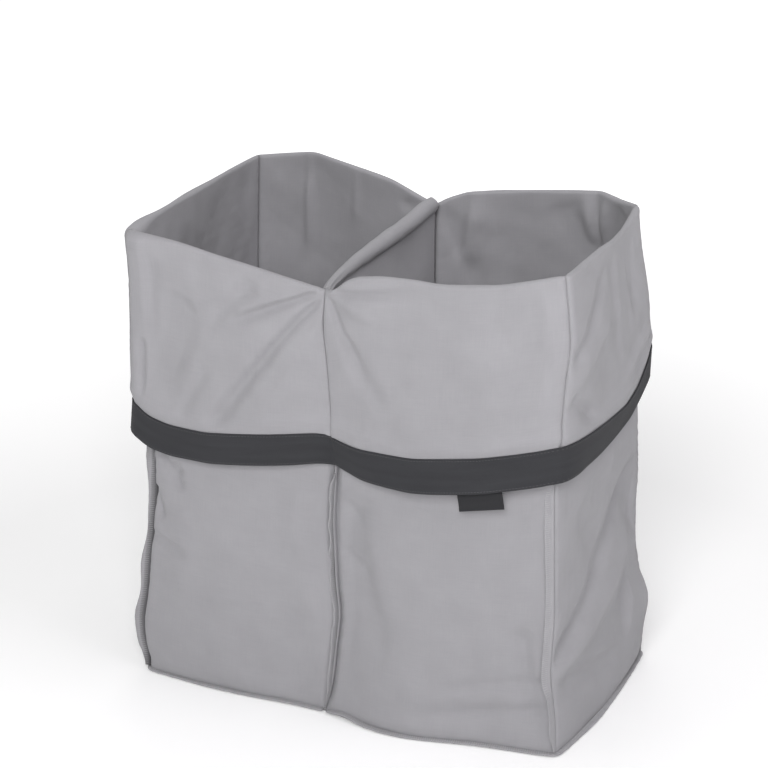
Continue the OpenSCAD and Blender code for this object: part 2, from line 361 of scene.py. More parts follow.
@dataclass(frozen=True)
class CottonCanvas:
    """Plain-weave cotton: crossing warp and weft threads, slubs along them and a faint washed mottle.

    A painted root shade darkens the colour towards the edge where U is 0, standing for the shadow deep in a
    seam, over the root's reach.
    """

    name: str
    dark: Triple
    light: Triple
    thread: float = 0.00075
    depth: float = 0.00013
    painted_root_shade: float = 0.0
    root_reach: float = 0.0105

    def material(self) -> bpy.types.Material:
        """Builds the cloth's nodes on the piece's own UV map, which is in metres."""
        n = Nodes(self.name)
        cloth = n.add("UVMap", uv_map="cloth").outputs[0]
        warp, weft = n.waves(cloth, self.thread, "X"), n.waves(cloth, self.thread * 1.1, "Y")
        checks = n.math("ABSOLUTE", n.math("SUBTRACT", warp, weft))
        slub_up = n.noise(n.stretched(cloth, (900, 30, 1)), 1.0, 2.0)
        slub_across = n.noise(n.stretched(cloth, (30, 900, 1)), 1.0, 2.0)
        slubs = n.math("ADD", slub_up, slub_across)
        mottle = n.noise(cloth, 28.0, 4.0)
        clouds = n.noise(cloth, 5.0, 2.0)
        tone = n.math("ADD", n.math("MULTIPLY", mottle, 0.35), n.math("MULTIPLY", clouds, 0.35))
        tone = n.math("ADD", tone, n.math("MULTIPLY", slubs, 0.22))
        tone = n.math("ADD", tone, n.math("MULTIPLY", checks, 0.12))
        height = n.math("ADD", n.math("MULTIPLY", checks, 0.6), n.math("MULTIPLY", slubs, 0.5))
        colour = n.shade(n.math("SUBTRACT", tone, 0.1), self.dark, self.light)
        # Painted shade: the colour darkens towards the root of a seam's flap, where the crease would lie in
        # shadow.
        if self.painted_root_shade:
            across = n.add("SeparateXYZ", {"Vector": cloth}).outputs[0]
            nearness = n.math("SUBTRACT", 1.0, n.math("MULTIPLY", across, 1 / self.root_reach))
            nearness = n.math("POWER", n.math("MAXIMUM", nearness, 0.0), 0.6)
            keep = n.math("SUBTRACT", 1.0, n.math("MULTIPLY", nearness, self.painted_root_shade))
            colour = n.add("VectorMath", {0: colour, "Scale": keep}, operation="SCALE").outputs[0]
        return n.finish(colour, height, self.depth, Roughness=0.93, Sheen_Weight=0.12, Specular_IOR_Level=0.2)


@dataclass(frozen=True)
class Webbing:
    """Woven tape: fine ribs along its length and a twill across them."""

    name: str
    dark: Triple
    light: Triple
    rib: float = 0.0013

    def material(self) -> bpy.types.Material:
        """Builds the tape's nodes on the piece's own UV map, which is in metres with U along the tape."""
        n = Nodes(self.name)
        tape = n.add("UVMap", uv_map="cloth").outputs[0]
        ribs = n.waves(tape, self.rib, "Y")
        picks = n.waves(tape, self.rib * 0.8, "DIAGONAL")
        fuzz = n.noise(tape, 900.0, 3.0)
        clouds = n.noise(n.stretched(tape, (12, 120, 1)), 1.0, 3.0)
        height = n.math("ADD", n.math("MULTIPLY", ribs, 0.7), n.math("MULTIPLY", picks, 0.5))
        tone = n.math("ADD", n.math("MULTIPLY", height, 0.3), n.math("MULTIPLY", clouds, 0.5))
        tone = n.math("ADD", tone, n.math("MULTIPLY", fuzz, 0.25))
        colour = n.shade(n.math("SUBTRACT", tone, 0.15), self.dark, self.light)
        return n.finish(colour, height, 0.00022, Roughness=0.85, Sheen_Weight=0.04, Specular_IOR_Level=0.12)


@dataclass(frozen=True)
class Thread:
    """Spun thread with a fine twist and small changes of shade."""

    name: str
    dark: Triple
    light: Triple

    def material(self) -> bpy.types.Material:
        """Builds the thread's nodes on Object coordinates."""
        n = Nodes(self.name)
        where = n.add("TexCoord").outputs["Object"]
        fibres, patches = n.noise(where, 1600.0, 3.0), n.noise(where, 160.0, 3.0)
        tone = n.math("ADD", n.math("MULTIPLY", fibres, 0.5), n.math("MULTIPLY", patches, 0.5))
        colour = n.shade(tone, self.dark, self.light)
        return n.finish(colour, fibres, 0.0002, Roughness=0.85, Sheen_Weight=0.1)


@dataclass(frozen=True)
class FlatPaint:
    """A plain pale studio floor with a barely visible grain and a painted glow, as though it were lit from
    inside.

    The painted glow is faint under the object, which paints a soft shadow round it, and grows from the near
    distance out to the far one, which paints the floor white there.
    """

    name: str
    dark: Triple
    light: Triple
    painted_glow: float = 0.13
    far_painted_glow: float = 0.62
    glow_near: float = 0.7
    glow_far: float = 2.2

    def material(self) -> bpy.types.Material:
        """Builds the floor's nodes on Object coordinates."""
        n = Nodes(self.name)
        where = n.add("TexCoord").outputs["Object"]
        grain = n.noise(where, 3.0, 2.0)
        # Painted shadow and light: the floor's glow is least round the object and grows with the distance
        # from it.
        distance = n.add("VectorMath", {0: where}, operation="LENGTH").outputs["Value"]
        reach = {"From Min": self.glow_near, "From Max": self.glow_far}
        painted_glow = {"To Min": self.painted_glow, "To Max": self.far_painted_glow}
        strength = n.add("MapRange", {"Value": distance, **reach, **painted_glow}).outputs[0]
        n.shader.inputs["Emission Color"].default_value = (1.0, 1.0, 1.0, 1.0)
        n.tree.links.new(strength, n.shader.inputs["Emission Strength"])
        colour = n.shade(grain, self.dark, self.light)
        return n.finish(colour, grain, 0.0001, Roughness=0.9, Specular_IOR_Level=0.1)


class Finish(Enum):
    """The finishes of the bag, one for each material slot, and the studio's floor."""

    GREY_COTTON = CottonCanvas("grey_cotton", (0.240, 0.236, 0.248), (0.357, 0.352, 0.370))
    # The flaps' cloth, with painted shade at the root of each flap that lies in a valley.
    OVERLOCK_EDGE = CottonCanvas(
        "overlock_edge", (0.240, 0.236, 0.248), (0.375, 0.370, 0.388), painted_root_shade=0.84)
    GREY_THREAD = Thread("grey_thread", (0.25, 0.247, 0.258), (0.50, 0.495, 0.51))
    CHARCOAL_WEBBING = Webbing("charcoal_webbing", (0.025, 0.025, 0.0276), (0.053, 0.054, 0.059))
    CHARCOAL_THREAD = Thread("charcoal_thread", (0.04, 0.04, 0.043), (0.09, 0.09, 0.095))
    LABEL_RIBBON = Webbing("label_ribbon", (0.022, 0.022, 0.0238), (0.045, 0.045, 0.049), 0.0006)
    COTTON_FILLER = Thread("cotton_filler", (0.6, 0.6, 0.58), (0.8, 0.8, 0.78))
    FLOOR = FlatPaint("studio_floor", (0.90, 0.90, 0.90), (0.92, 0.92, 0.92))

    def dress(self, piece: Piece) -> Piece:
        """Puts this finish on a piece, as its only material.

        Args:
            piece: The piece to dress.

        Returns:
            The same piece.
        """
        made = bpy.data.materials.get(self.value.name + "_finish") or self.value.material()
        piece.data.materials.clear()
        piece.data.materials.append(made)
        return piece


# ---------------------------------------------------------------- the bag's shape


class Line(IntEnum):
    """The corner lines, anticlockwise from the left front one."""

    FRONT_LEFT = 0
    FRONT_CENTRE = 1
    FRONT_RIGHT = 2
    BACK_RIGHT = 3
    SLANT = 4
    BACK_CENTRE = 5
    BACK_LEFT = 6


LINES = len(Line)


@dataclass(frozen=True)
class Corner:
    """A corner line: its place on the floor and at the rim, and how round the bag is there at three heights.

    A stray is [height, to the right, to the back]: how far the slack cloth leaves the straight line there.
    """

    floor: Pair
    rim: Pair
    round_floor: float
    round_hem: float
    round_rim: float
    stray: tuple[Triple, ...] = ((0.0, 0.0, 0.0),)


@dataclass(frozen=True)
class Bulge:
    """A place where the cloth stands out of the plan: a bell in both directions, with half-widths."""

    station: float
    height: float
    half_station: float
    half_height: float
    depth: float


@dataclass
class BagPlan:
    """The shape of the standing bag, as a closed plan curve at each height.

    Each height's curve starts as straight walls between the corner lines, swollen outwards by a power of a
    half sine, more half way up than at the floor and the rim. Its corners are then rounded by mixing it with
    its own moving averages, a tight one and a wide one, whose half-widths and reaches are in samples. Marks
    are [station, height] or [station, distance outwards] round the bag.
    """

    floor_inset: float = 0.0098
    rim_inset: float = 0.0174
    cut_floor: float = 0.0113
    cut_rim: float = 0.0707
    levels: int = 61
    swell_floor: float = 0.005
    swell_rim: float = 0.008
    belly: float = 0.013
    swell_power: float = 0.75
    swell_share: tuple[float, ...] = (1.0, 1.0, 0.35, 0.0, 1.0, 1.0, 0.35)
    tight_blur: int = 8
    tight_reach: float = 12.0
    wide_blur: int = 62
    wide_reach: float = 90.0
    outward_blur: int = 9
    hem_level: float = 0.58
    rim_marks: tuple[Pair, ...] = (
        (0.0, 0.592), (0.25, 0.586), (0.6, 0.571), (0.92, 0.555), (1.0, 0.549), (1.03, 0.547), (1.07, 0.560),
        (1.13, 0.572), (1.25, 0.5775), (1.38, 0.579), (1.5, 0.578), (1.75, 0.586), (2.0, 0.604), (2.4, 0.605),
        (2.62, 0.600), (2.78, 0.600), (3.0, 0.612), (3.5, 0.605), (4.0, 0.602), (4.5, 0.592), (4.8, 0.586),
        (4.93, 0.576), (5.0, 0.567), (5.06, 0.570), (5.25, 0.588), (5.5, 0.600), (5.7, 0.610), (6.0, 0.597),
        (6.5, 0.596), (6.9, 0.596), (7.0, 0.592),
    )
    hem_marks: tuple[Pair, ...] = (
        (0.0, 0.334), (0.08, 0.322), (0.2, 0.317), (0.4, 0.317), (0.7, 0.326), (0.93, 0.334), (1.0, 0.331),
        (1.15, 0.324), (1.4, 0.326), (1.7, 0.340), (2.0, 0.360), (2.35, 0.356), (2.6, 0.355), (2.75, 0.363),
        (2.9, 0.381), (3.0, 0.396), (4.0, 0.396), (4.5, 0.382), (5.0, 0.362), (5.5, 0.352), (6.0, 0.344),
        (6.5, 0.339), (6.9, 0.337), (7.0, 0.334),
    )
    flare_marks: tuple[Pair, ...] = (
        (0.0, 0.003), (0.1, 0.0), (0.3, -0.005), (0.8, -0.005), (1.0, -0.010), (1.08, -0.010), (1.25, -0.002),
        (1.5, 0.005), (2.0, 0.004), (2.2, -0.003), (2.6, -0.010), (2.9, -0.004), (3.0, 0.0), (6.8, 0.0),
        (7.0, 0.003),
    )
    band: float = 0.042
    bulges: tuple[Bulge, ...] = (
        Bulge(1.34, 0.0, 0.30, 0.16, 0.022),
        Bulge(0.45, 0.05, 0.30, 0.10, 0.004),
        Bulge(2.50, 0.03, 0.40, 0.09, 0.010),
        Bulge(2.55, 0.23, 0.30, 0.06, -0.004),
        Bulge(4.45, 0.05, 0.25, 0.13, 0.010),
        Bulge(5.50, 0.06, 0.25, 0.13, 0.008),
        Bulge(6.50, 0.05, 0.30, 0.10, 0.008),
    )
    front_rim_setback: float = 0.0246
    back_rim_setback: float = 0.0187
    centre_dip: float = 0.008
    back_pinch: float = 0.026
    height: float = field(init=False)
    corners: list[Corner] = field(init=False)
    counts: Array = field(init=False)
    starts: Array = field(init=False)
    places: Array = field(init=False)
    outs: Array = field(init=False)

    def __post_init__(self) -> None:
        """Reads the corner lines from the frame and works out the table of plan curves."""
        self.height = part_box("side_panel_right")[1][2]
        low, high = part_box("base_panel_left")[0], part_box("base_panel_right")[1]
        floor_l, floor_r = low.x + self.floor_inset, high.x - self.floor_inset
        floor_f, floor_b = low.y + self.floor_inset, high.y - self.floor_inset
        rim_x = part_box("side_panel_right")[1].x - self.rim_inset
        rim_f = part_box("front_panel_left")[0].y + self.front_rim_setback
        rim_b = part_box("back_panel_left")[1].y - self.back_rim_setback
        front, back = (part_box(n) for n in ("seam_front_centre", "seam_back_centre"))
        front_x, back_x = (front[0].x + front[1].x) / 2, (back[0].x + back[1].x) / 2
        self.corners = [
            Corner((floor_l, floor_f), (-rim_x, rim_f), 0.25, 0.3, 0.15, (
                (0.0, -0.017, 0.0), (0.03, -0.030, 0.0), (0.07, -0.032, 0.0), (0.11, -0.023, 0.0),
                (0.17, -0.015, 0.0), (0.24, -0.004, 0.0), (0.30, 0.0, 0.0), (0.36, -0.006, 0.0),
                (0.40, -0.008, 0.0), (0.44, -0.004, 0.0), (0.48, 0.001, 0.0), (0.54, 0.005, 0.0),
                (0.58, 0.002, 0.0), (0.60, 0.0, 0.002))),
            Corner((front_x, floor_f + self.centre_dip), (front_x, rim_f), 0.0, 0.1, 0.0, (
                (0.0, -0.012, -0.014), (0.04, -0.003, -0.010), (0.09, 0.001, -0.006), (0.133, 0.006, -0.004),
                (0.17, 0.001, -0.003), (0.26, -0.003, 0.0), (0.30, 0.001, 0.0), (0.39, 0.005, 0.0),
                (0.46, 0.0, 0.0), (0.51, -0.006, 0.0), (0.54, -0.003, 0.0), (0.60, 0.0, 0.0))),
            Corner((floor_r, floor_f), (rim_x, rim_f), 0.2, 0.6, 0.15, (
                (0.0, 0.006, -0.005), (0.05, 0.003, 0.0), (0.10, -0.004, 0.0), (0.18, 0.001, 0.0),
                (0.34, -0.003, 0.0), (0.41, -0.004, 0.0), (0.48, 0.0, 0.0), (0.52, 0.006, 0.0),
                (0.57, 0.002, 0.0), (0.60, -0.002, 0.0))),
            Corner((floor_r, floor_b - self.cut_floor), (rim_x, rim_b - self.cut_rim), 0.3, 0.3, 0.1, (
                (0.0, 0.015, 0.0), (0.04, 0.020, 0.0), (0.09, 0.018, 0.0), (0.15, 0.009, 0.0),
                (0.30, 0.010, 0.0), (0.35, 0.008, 0.0), (0.45, 0.008, 0.0), (0.50, 0.005, 0.0),
                (0.56, -0.003, 0.0), (0.60, -0.005, 0.0))),
            Corner((floor_r - self.cut_floor, floor_b), (rim_x - self.cut_rim, rim_b), 0.3, 0.3, 0.1, (
                (0.0, 0.014, 0.0), (0.09, 0.016, 0.004), (0.30, 0.006, 0.0), (0.60, 0.0, 0.0))),
            Corner((back_x, floor_b - self.centre_dip), (back_x, rim_b - self.back_pinch), 0.0, 0.2, 0.0, (
                (0.0, 0.0, 0.010), (0.15, 0.004, 0.004), (0.30, -0.003, 0.0), (0.60, 0.0, 0.0))),
            Corner((floor_l, floor_b), (-rim_x, rim_b), 0.3, 0.4, 0.15, (
                (0.0, -0.010, 0.004), (0.05, -0.015, 0.006), (0.15, -0.007, 0.0), (0.30, 0.002, 0.0),
                (0.45, -0.005, 0.0), (0.60, 0.0, 0.0))),
        ]
        self._tabulate()

    def _tabulate(self) -> None:
        """Fills the tables of places and outward directions: levels by samples by 2."""
        floor, rim = (np.array([getattr(c, name) for c in self.corners]) for name in ("floor", "rim"))
        lengths = np.linalg.norm(np.roll(mix(floor, rim, 0.7), -1, 0) - mix(floor, rim, 0.7), axis=1)
        self.counts = (lengths * SAMPLES).astype(int)
        self.starts = np.concatenate([[0], np.cumsum(self.counts)]).astype(float)
        span = np.repeat(np.arange(LINES), self.counts)
        u = np.concatenate([np.arange(c) / c for c in self.counts])
        v = np.linspace(0, 1, self.levels)[:, None, None]
        lines = mix(floor[None], rim[None], v) + self._strays()
        here, there = lines[:, span], lines[:, (span + 1) % LINES]
        wall = unit(there - here)
        share = np.array(self.swell_share)[span] * np.sin(math.pi * u) ** self.swell_power
        swell = mix(self.swell_floor, self.swell_rim, v) + self.belly * 4 * v * (1 - v)
        outward = np.stack([wall[..., 1], -wall[..., 0]], -1)
        loop = mix(here, there, u[None, :, None]) + outward * swell * share[None, :, None]
        loop = mix(loop, blurred(loop, self.tight_blur), self._roundness(v, self.tight_reach, tight=True))
        loop = mix(loop, blurred(loop, self.wide_blur), self._roundness(v, self.wide_reach, tight=False))
        along = unit(np.roll(loop, -1, 1) - np.roll(loop, 1, 1))
        self.outs = unit(blurred(np.stack([along[..., 1], -along[..., 0]], -1), self.outward_blur))
        bulged = sum(self._bulge(bulge, span + u, v[..., 0]) for bulge in self.bulges)
        self.places = loop + self.outs * bulged[..., None]

    def _strays(self) -> Array:
        """How far each corner line strays, levels by lines by 2, evened out over the neighbouring heights."""
        z = np.linspace(0, self.height, self.levels)
        nearby = z[:, None] + np.linspace(-0.025, 0.025, 5) * self.height
        strays = []
        for corner in self.corners:
            at, dx, dy = np.array(corner.stray).T
            strays.append(np.stack([np.interp(nearby, at, d).mean(1) for d in (dx, dy)], -1))
        return np.stack(strays, 1)

    def _bulge(self, bulge: Bulge, station: Array, level: Array) -> Array:
        """How far a bulge moves each sample outwards.

        Args:
            bulge: The bulge.
            station: Station of each sample.
            level: Levels, as shares of the height.

        Returns:
            Distances outwards, levels by samples.
        """
        gap = (station - bulge.station + LINES / 2) % LINES - LINES / 2
        z = level * self.height
        return bulge.depth * bump(gap, 0, bulge.half_station)[None] * bump(z, bulge.height, bulge.half_height)

    def _roundness(self, v: Array, reach: float, tight: bool) -> Array:
        """How much of a moving average each sample takes: a bell round each corner line.

        Args:
            v: Levels, as shares of the height, levels by 1 by 1.
            reach: Half-width of the bells, in samples.
            tight: Whether a rounded corner takes its whole share, and a sharp one a little, at all levels.

        Returns:
            Shares from 0 to 1, levels by samples by 1.
        """
        whole = self.starts[-1]
        position = np.arange(int(whole))[None, :]
        total = np.zeros((len(v), position.shape[1]))
        levels = [0, 0.25, self.hem_level, 0.8, 1]
        for start, corner in zip(self.starts, self.corners):
            gap = np.abs((position - start + whole / 2) % whole - whole / 2)
            low, middle, high = corner.round_floor, corner.round_hem, corner.round_rim
            amount = np.interp(v[:, 0], levels, [low, (low + middle) / 2, middle, (middle + high) / 2, high])
            if tight:
                amount = np.where(amount > 0, 1.0, 0.35)
            total = np.maximum(total, amount * bump(gap, 0, reach))
        return np.clip(total, 0, 1)[..., None]

    def _look_up(self, table: Array, station: Array, z: Array) -> Array:
        """A value of a table between its samples, by linear interpolation in both directions.

        Args:
            table: Levels by samples by 2.
            station: Stations.
            z: Heights, as many as the stations.

        Returns:
            The values, with the stations' shape and a last axis of 2.
        """
        count = table.shape[1]
        whole = np.floor(station).astype(int)
        share = station - whole
        position = (self.starts[whole % LINES] + share * self.counts[whole % LINES]) % count
        level = np.clip(z / self.height, 0, 1) * (self.levels - 1)
        row, column = np.minimum(level.astype(int), self.levels - 2), position.astype(int) % count
        fr, fc = (level - row)[..., None], (position - np.floor(position))[..., None]
        after = (column + 1) % count
        low = mix(table[row, column], table[row, after], fc)
        high = mix(table[row + 1, column], table[row + 1, after], fc)
        return mix(low, high, fr)

    def point(self, station: Array, z: Array, out: Array | float = 0.0) -> Array:
        """A place at a station and height, at a distance outside the plan curve.

        Args:
            station: Stations.
            z: Heights.
            out: Distances outside the plan curve.

        Returns:
            Places, with the three arguments' common shape and a last axis of 3.
        """
        station, z, out = np.broadcast_arrays(*(np.asarray(v, float) for v in (station, z, out)))
        xy = self._look_up(self.places, station, z) + self._look_up(self.outs, station, z) * out[..., None]
        return np.concatenate([xy, z[..., None]], -1)

    def out(self, station: Array, z: Array) -> Array:
        """The outward direction at a station and height.

        Args:
            station: Stations.
            z: Heights.

        Returns:
            Level directions of length 1 or a little less.
        """
        station, z = np.broadcast_arrays(*(np.asarray(v, float) for v in (station, z)))
        xy = self._look_up(self.outs, station, z)
        return np.concatenate([xy, np.zeros(xy.shape[:-1] + (1,))], -1)

    def _marks(self, marks: tuple[Pair, ...], station: Array) -> Array:
        """A value that runs through the marks round the bag, softened by averaging five nearby places.

        Args:
            marks: Stations and values, in order round the bag.
            station: Stations.

        Returns:
            The value at each station.
        """
        where, heights = np.array(marks).T
        near = np.asarray(station, float)[..., None] + np.array([-0.03, -0.015, 0, 0.015, 0.03])
        return np.interp(near % LINES, where, heights).mean(-1)

    def rim(self, station: Array) -> Array:
        """Height of the rim's crest."""
        return self._marks(self.rim_marks, station)

    def hem(self, station: Array) -> Array:
        """Height of the lower edge of the cuff and of the band."""
        return self._marks(self.hem_marks, station)

    def flare(self, station: Array, z: Array) -> Array:
        """How far the cuff's lower part leans out, or in where it is negative: more towards its hem.

        Args:
            station: Stations.
            z: Heights.

        Returns:
            Distances outwards.
        """
        start = self.band * 1.3
        below = np.clip((self.hem(station) + start - z) / start, 0, 1)
        return self._marks(self.flare_marks, station) * (below * 1.6 - 0.6 * smooth(0, 0.3, below))

    def cuff_point(self, station: Array, z: Array, out: Array | float = 0.0) -> Array:
        """A place on the cuff, which hangs straight down from the band's upper edge.

        Args:
            station: Stations.
            z: Heights.
            out: Distances outside the plan curve.

        Returns:
            Places on the cuff.
        """
        place = self.point(station, np.maximum(z, self.hem(station) + self.band), out)
        place[..., 2] = z
        return place

    def foot(self, station: Array) -> Array:
        """Height of the walls' lower edge, which lifts a little just right of the centre seam."""
        return 0.0018 + 0.0045 * bump(np.asarray(station, float), 1.1, 0.07)

    def span_length(self, line: Line) -> float:
        """Length of a wall, from a corner line to the next."""
        return float(self.counts[line]) / SAMPLES

    def way_to(self, station: float) -> float:
        """The way to a station, which may be on the second round."""
        rounds, rest = divmod(station, LINES)
        return float(rounds * self.starts[-1] + np.interp(rest, np.arange(LINES + 1), self.starts)) / SAMPLES

    def station_at(self, way: Array | float) -> Array:
        """The station at a way, which may be on the second round."""
        return np.interp(way * SAMPLES % self.starts[-1], self.starts, np.arange(LINES + 1))


@dataclass(frozen=True)
class Fold:
    """A crease or ridge that runs over the cloth from one place to another.

    Its section is a bell with a different width on each side, and it fades in and out at its ends. Places are
    [distance from the panel's first corner line, height]. Strength deepens all folds alike.
    """

    start: Pair
    end: Pair
    depth: float
    left: float
    right: float
    bow: float = 0.0
    narrow: float = 1.0
    strength: float = 1.9

    def height(self, a: Array, z: Array) -> Array:
        """How far this fold moves the cloth outwards, at distances a and heights z.

        Args:
            a: Distances from the panel's first corner line.
            z: Heights.

        Returns:
            Distances outwards, negative in a crease.
        """
        run, rise = self.end[0] - self.start[0], self.end[1] - self.start[1]
        length = math.hypot(run, rise)
        da, dz = a - self.start[0], z - self.start[1]
        along = (da * run + dz * rise) / length**2
        across = (dz * run - da * rise) / length + self.bow * 4 * along * (1 - along)
        width = np.where(across > 0, self.left, self.right) * mix(self.narrow, 1.0, np.clip(along, 0, 1))
        ends = smooth(-0.08, 0.12, along) * (1 - smooth(0.72, 1.12, along))
        return self.strength * self.depth * bump(across, 0, width) * ends


# ---------------------------------------------------------------- the bag's pieces


@dataclass(frozen=True)
class Valley:
    """The groove that a seam pulls into a wall: its depth at the seam, and how far from it the groove fades.

    A deep one lets the root of a seam's flap sink between two walls.
    """

    depth: float = 0.0022
    reach: float = 0.0030


@dataclass
class ClothPanel:
    """One cut piece of canvas: up a wall, over the rim and down the outside as the cuff.

    It runs from its first corner line to its last one, with a valley at each. Its columns crowd by the seams.
    Its eases, by which the cloth would be cut a little larger than the wall, are not used.
    """

    node: str
    first: Line
    last: int
    plan: BagPlan
    seed: int
    wall_folds: tuple[Fold, ...] = ()
    cuff_folds: tuple[Fold, ...] = ()
    valleys: tuple[Valley, Valley] = (Valley(), Valley())
    pitch: float = 0.0034
    crowding: float = 0.35
    rows_up: int = 168
    rows_round: int = 9
    rows_down: int = 84
    thickness: float = 0.0009
    fold_radius: float = 0.0036
    fuller_at_corner: float = 1.9
    gap: float = 0.0128
    wall_room: float = 0.02
    room_under_cuff: float = 0.0034
    least_stand: float = 0.0040
    ease_across: float = 1.02
    ease_along: float = 1.01

    def build(self) -> Piece:
        """Makes the panel.

        The rows climb the wall to the rim, go half round the fold, and run down the cuff to the hem. Each
        row's place is the plan curve's, moved outwards by the fold's half circle or the cuff's stand-off, and
        by the cloth's own folds, unevenness, puckers and the groove of the seam at each end.
        """
        plan = self.plan
        begin = plan.way_to(self.first)
        length = plan.way_to(self.last) - begin
        even = np.linspace(0, 1, int(length / self.pitch))
        a = length * mix(even, 0.5 - 0.5 * np.cos(math.pi * even), self.crowding)[None, :]
        station = plan.station_at(a + begin)
        rim, hem = plan.rim(station), plan.hem(station)
        radius = self.fold_radius * (1 + 0.25 * ripple(a, 0 * a, 0.09, self.seed + 7))
        from_front_left = np.minimum(station, LINES - station)
        radius = radius * (1 + self.fuller_at_corner * bump(from_front_left, 0, 0.13))
        top = rim - radius
        up = np.linspace(0, 1, self.rows_up)[:, None]
        half_turn = np.linspace(math.pi, 0, self.rows_round + 2)[1:-1, None]
        down = np.linspace(0, 1, self.rows_down)[:, None]
        wall_z = mix(plan.foot(station), top, up)
        fold_z = top + radius * np.sin(half_turn)
        cuff_z = mix(top, hem + 0.001, down)
        wall_out = self._wall(a, wall_z, length, rim, hem)
        cuff_out = self._cuff(a, cuff_z, length, rim, hem, radius) + plan.flare(station, cuff_z)
        fold_out = mix(wall_out[-1:], cuff_out[:1], (1 + np.cos(half_turn)) / 2)
        wall, fold = plan.point(station, wall_z, wall_out), plan.point(station, fold_z, fold_out)
        points = np.concatenate([wall, fold, plan.cuff_point(station, cuff_z, cuff_out)])
        step = np.linalg.norm(np.diff(points, axis=0), axis=-1).mean(1)
        v = np.concatenate([[0], np.cumsum(step)])[:, None]
        uv = np.stack(np.broadcast_arrays(a, v), -1)
        piece = thicken(surface(self.node + "_cloth", points, uv), self.thickness)
        Finish.GREY_COTTON.dress(piece)
        return settle(piece, self.node)

    def _seams(self, a: Array, z: Array, length: float) -> tuple[Array, Array]:
        """Distance to the nearer seam, and the small uneven puckers that the seam raises beside it.

        Args:
            a: Distances from the first corner line.
            z: Heights.
            length: The panel's width.

        Returns:
            Distances to the nearer seam, and the puckers' heights.
        """
        edge = np.minimum(a, length - a) + 0 * z
        beat = np.sin(2 * math.pi * z / 0.021 + 4.5 * ripple(a, z, 0.05, self.seed + 3))
        patchy = 0.5 + 0.5 * ripple(a, z, 0.09, self.seed + 4)
        return edge, 0.0009 * np.exp(-edge / 0.010) * smooth(0, 0.004, edge) * beat * patchy

    def _uneven(self, a: Array, z: Array, edge: Array, seed: int) -> Array:
        """The cloth's own unevenness, from broad swells to small dents, which fades towards the seams.

        Args:
            a: Distances from the first corner line.
            z: Heights.
            edge: Distances to the nearer seam.
            seed: Which unevenness it is.

        Returns:
            Distances outwards.
        """
        broad = 0.0026 * ripple(a, z, 0.15, self.seed + seed)
        small = 0.0009 * ripple(a, z, 0.055, self.seed + seed + 1)
        fine = 0.00022 * ripple(a, z, 0.019, self.seed + seed + 2)
        return (broad + small + fine) * smooth(0, 0.03, edge)

    def _wall(self, a: Array, z: Array, length: float, rim: Array, hem: Array) -> Array:
        """How far the wall stands outside the plan curve.

        Above the hem the seams make a ridge outwards, and the wall has only the room under the cuff. Below it
        they pull their valleys inwards.

        Args:
            a: Distances from the first corner line.
            z: Heights.
            length: The panel's width.
            rim: Heights of the rim.
            hem: Heights of the cuff's lower edge.

        Returns:
            Distances outwards.
        """
        edge, seam = self._seams(a, z, length)
        folds = sum((f.height(a, z) for f in self.wall_folds), np.zeros(z.shape)) * smooth(0, 0.01, edge)
        first, last = self.valleys
        by_first = a < length / 2
        depth = np.where(by_first, first.depth, last.depth)
        reach = np.where(by_first, first.reach, last.reach)
        covered = smooth(-0.002, 0.012, z - hem)
        ridge = 0.0030 * bump(edge, 0, 0.0024) * covered
        valley = depth * bump(edge, 0, reach) * (1 - covered) * smooth(0.0, 0.03, z)
        foot_tuck = 0.0015 * np.exp(-z / 0.004)
        calm = (1 - 0.7 * smooth(0.04, 0.0, rim - z)) * smooth(0.0, 0.02, z)
        total = (folds + self._uneven(a, z, edge, 20) + seam) * calm
        room = mix(self.wall_room, self.room_under_cuff, covered)
        return smaller(total, room, 0.002) + ridge - valley - foot_tuck

    def _cuff(self, a: Array, z: Array, length: float, rim: Array, hem: Array, radius: Array) -> Array:
        """How far the cuff stands outside the plan curve.

        It is close at the rim, stands out just over the band and is held still by it. It never reaches the
        wall.

        Args:
            a: Distances from the first corner line.
            z: Heights.
            length: The panel's width.
            rim: Heights of the rim.
            hem: Heights of the cuff's lower edge.
            radius: Radii of the fold at the rim.

        Returns:
            Distances outwards.
        """
        edge, pucker = self._seams(a, z, length)
        seam = 0.55 * (pucker - 0.0030 * bump(edge, 0, 0.0019))
        folds = sum((f.height(a, z) for f in self.cuff_folds), np.zeros(z.shape)) * smooth(0, 0.006, edge)
        above = z - hem - self.plan.band
        fall = np.clip((rim - z) / (rim - hem - self.plan.band), 0, 1)
        stand = mix(2 * radius, self.gap, smooth(0, 1, fall * 0.9)) + 0.002 * np.sin(math.pi * fall)
        over_band = 0.0028 * bump(above, 0.012, 0.011)
        loose = (1 - 0.6 * smooth(0.03, 0.0, rim - z)) * smooth(-0.004, 0.02, above)
        total = stand + over_band + (folds + self._uneven(a, z, edge, 40)) * loose
        return larger(total, self.least_stand, 0.0012) + seam


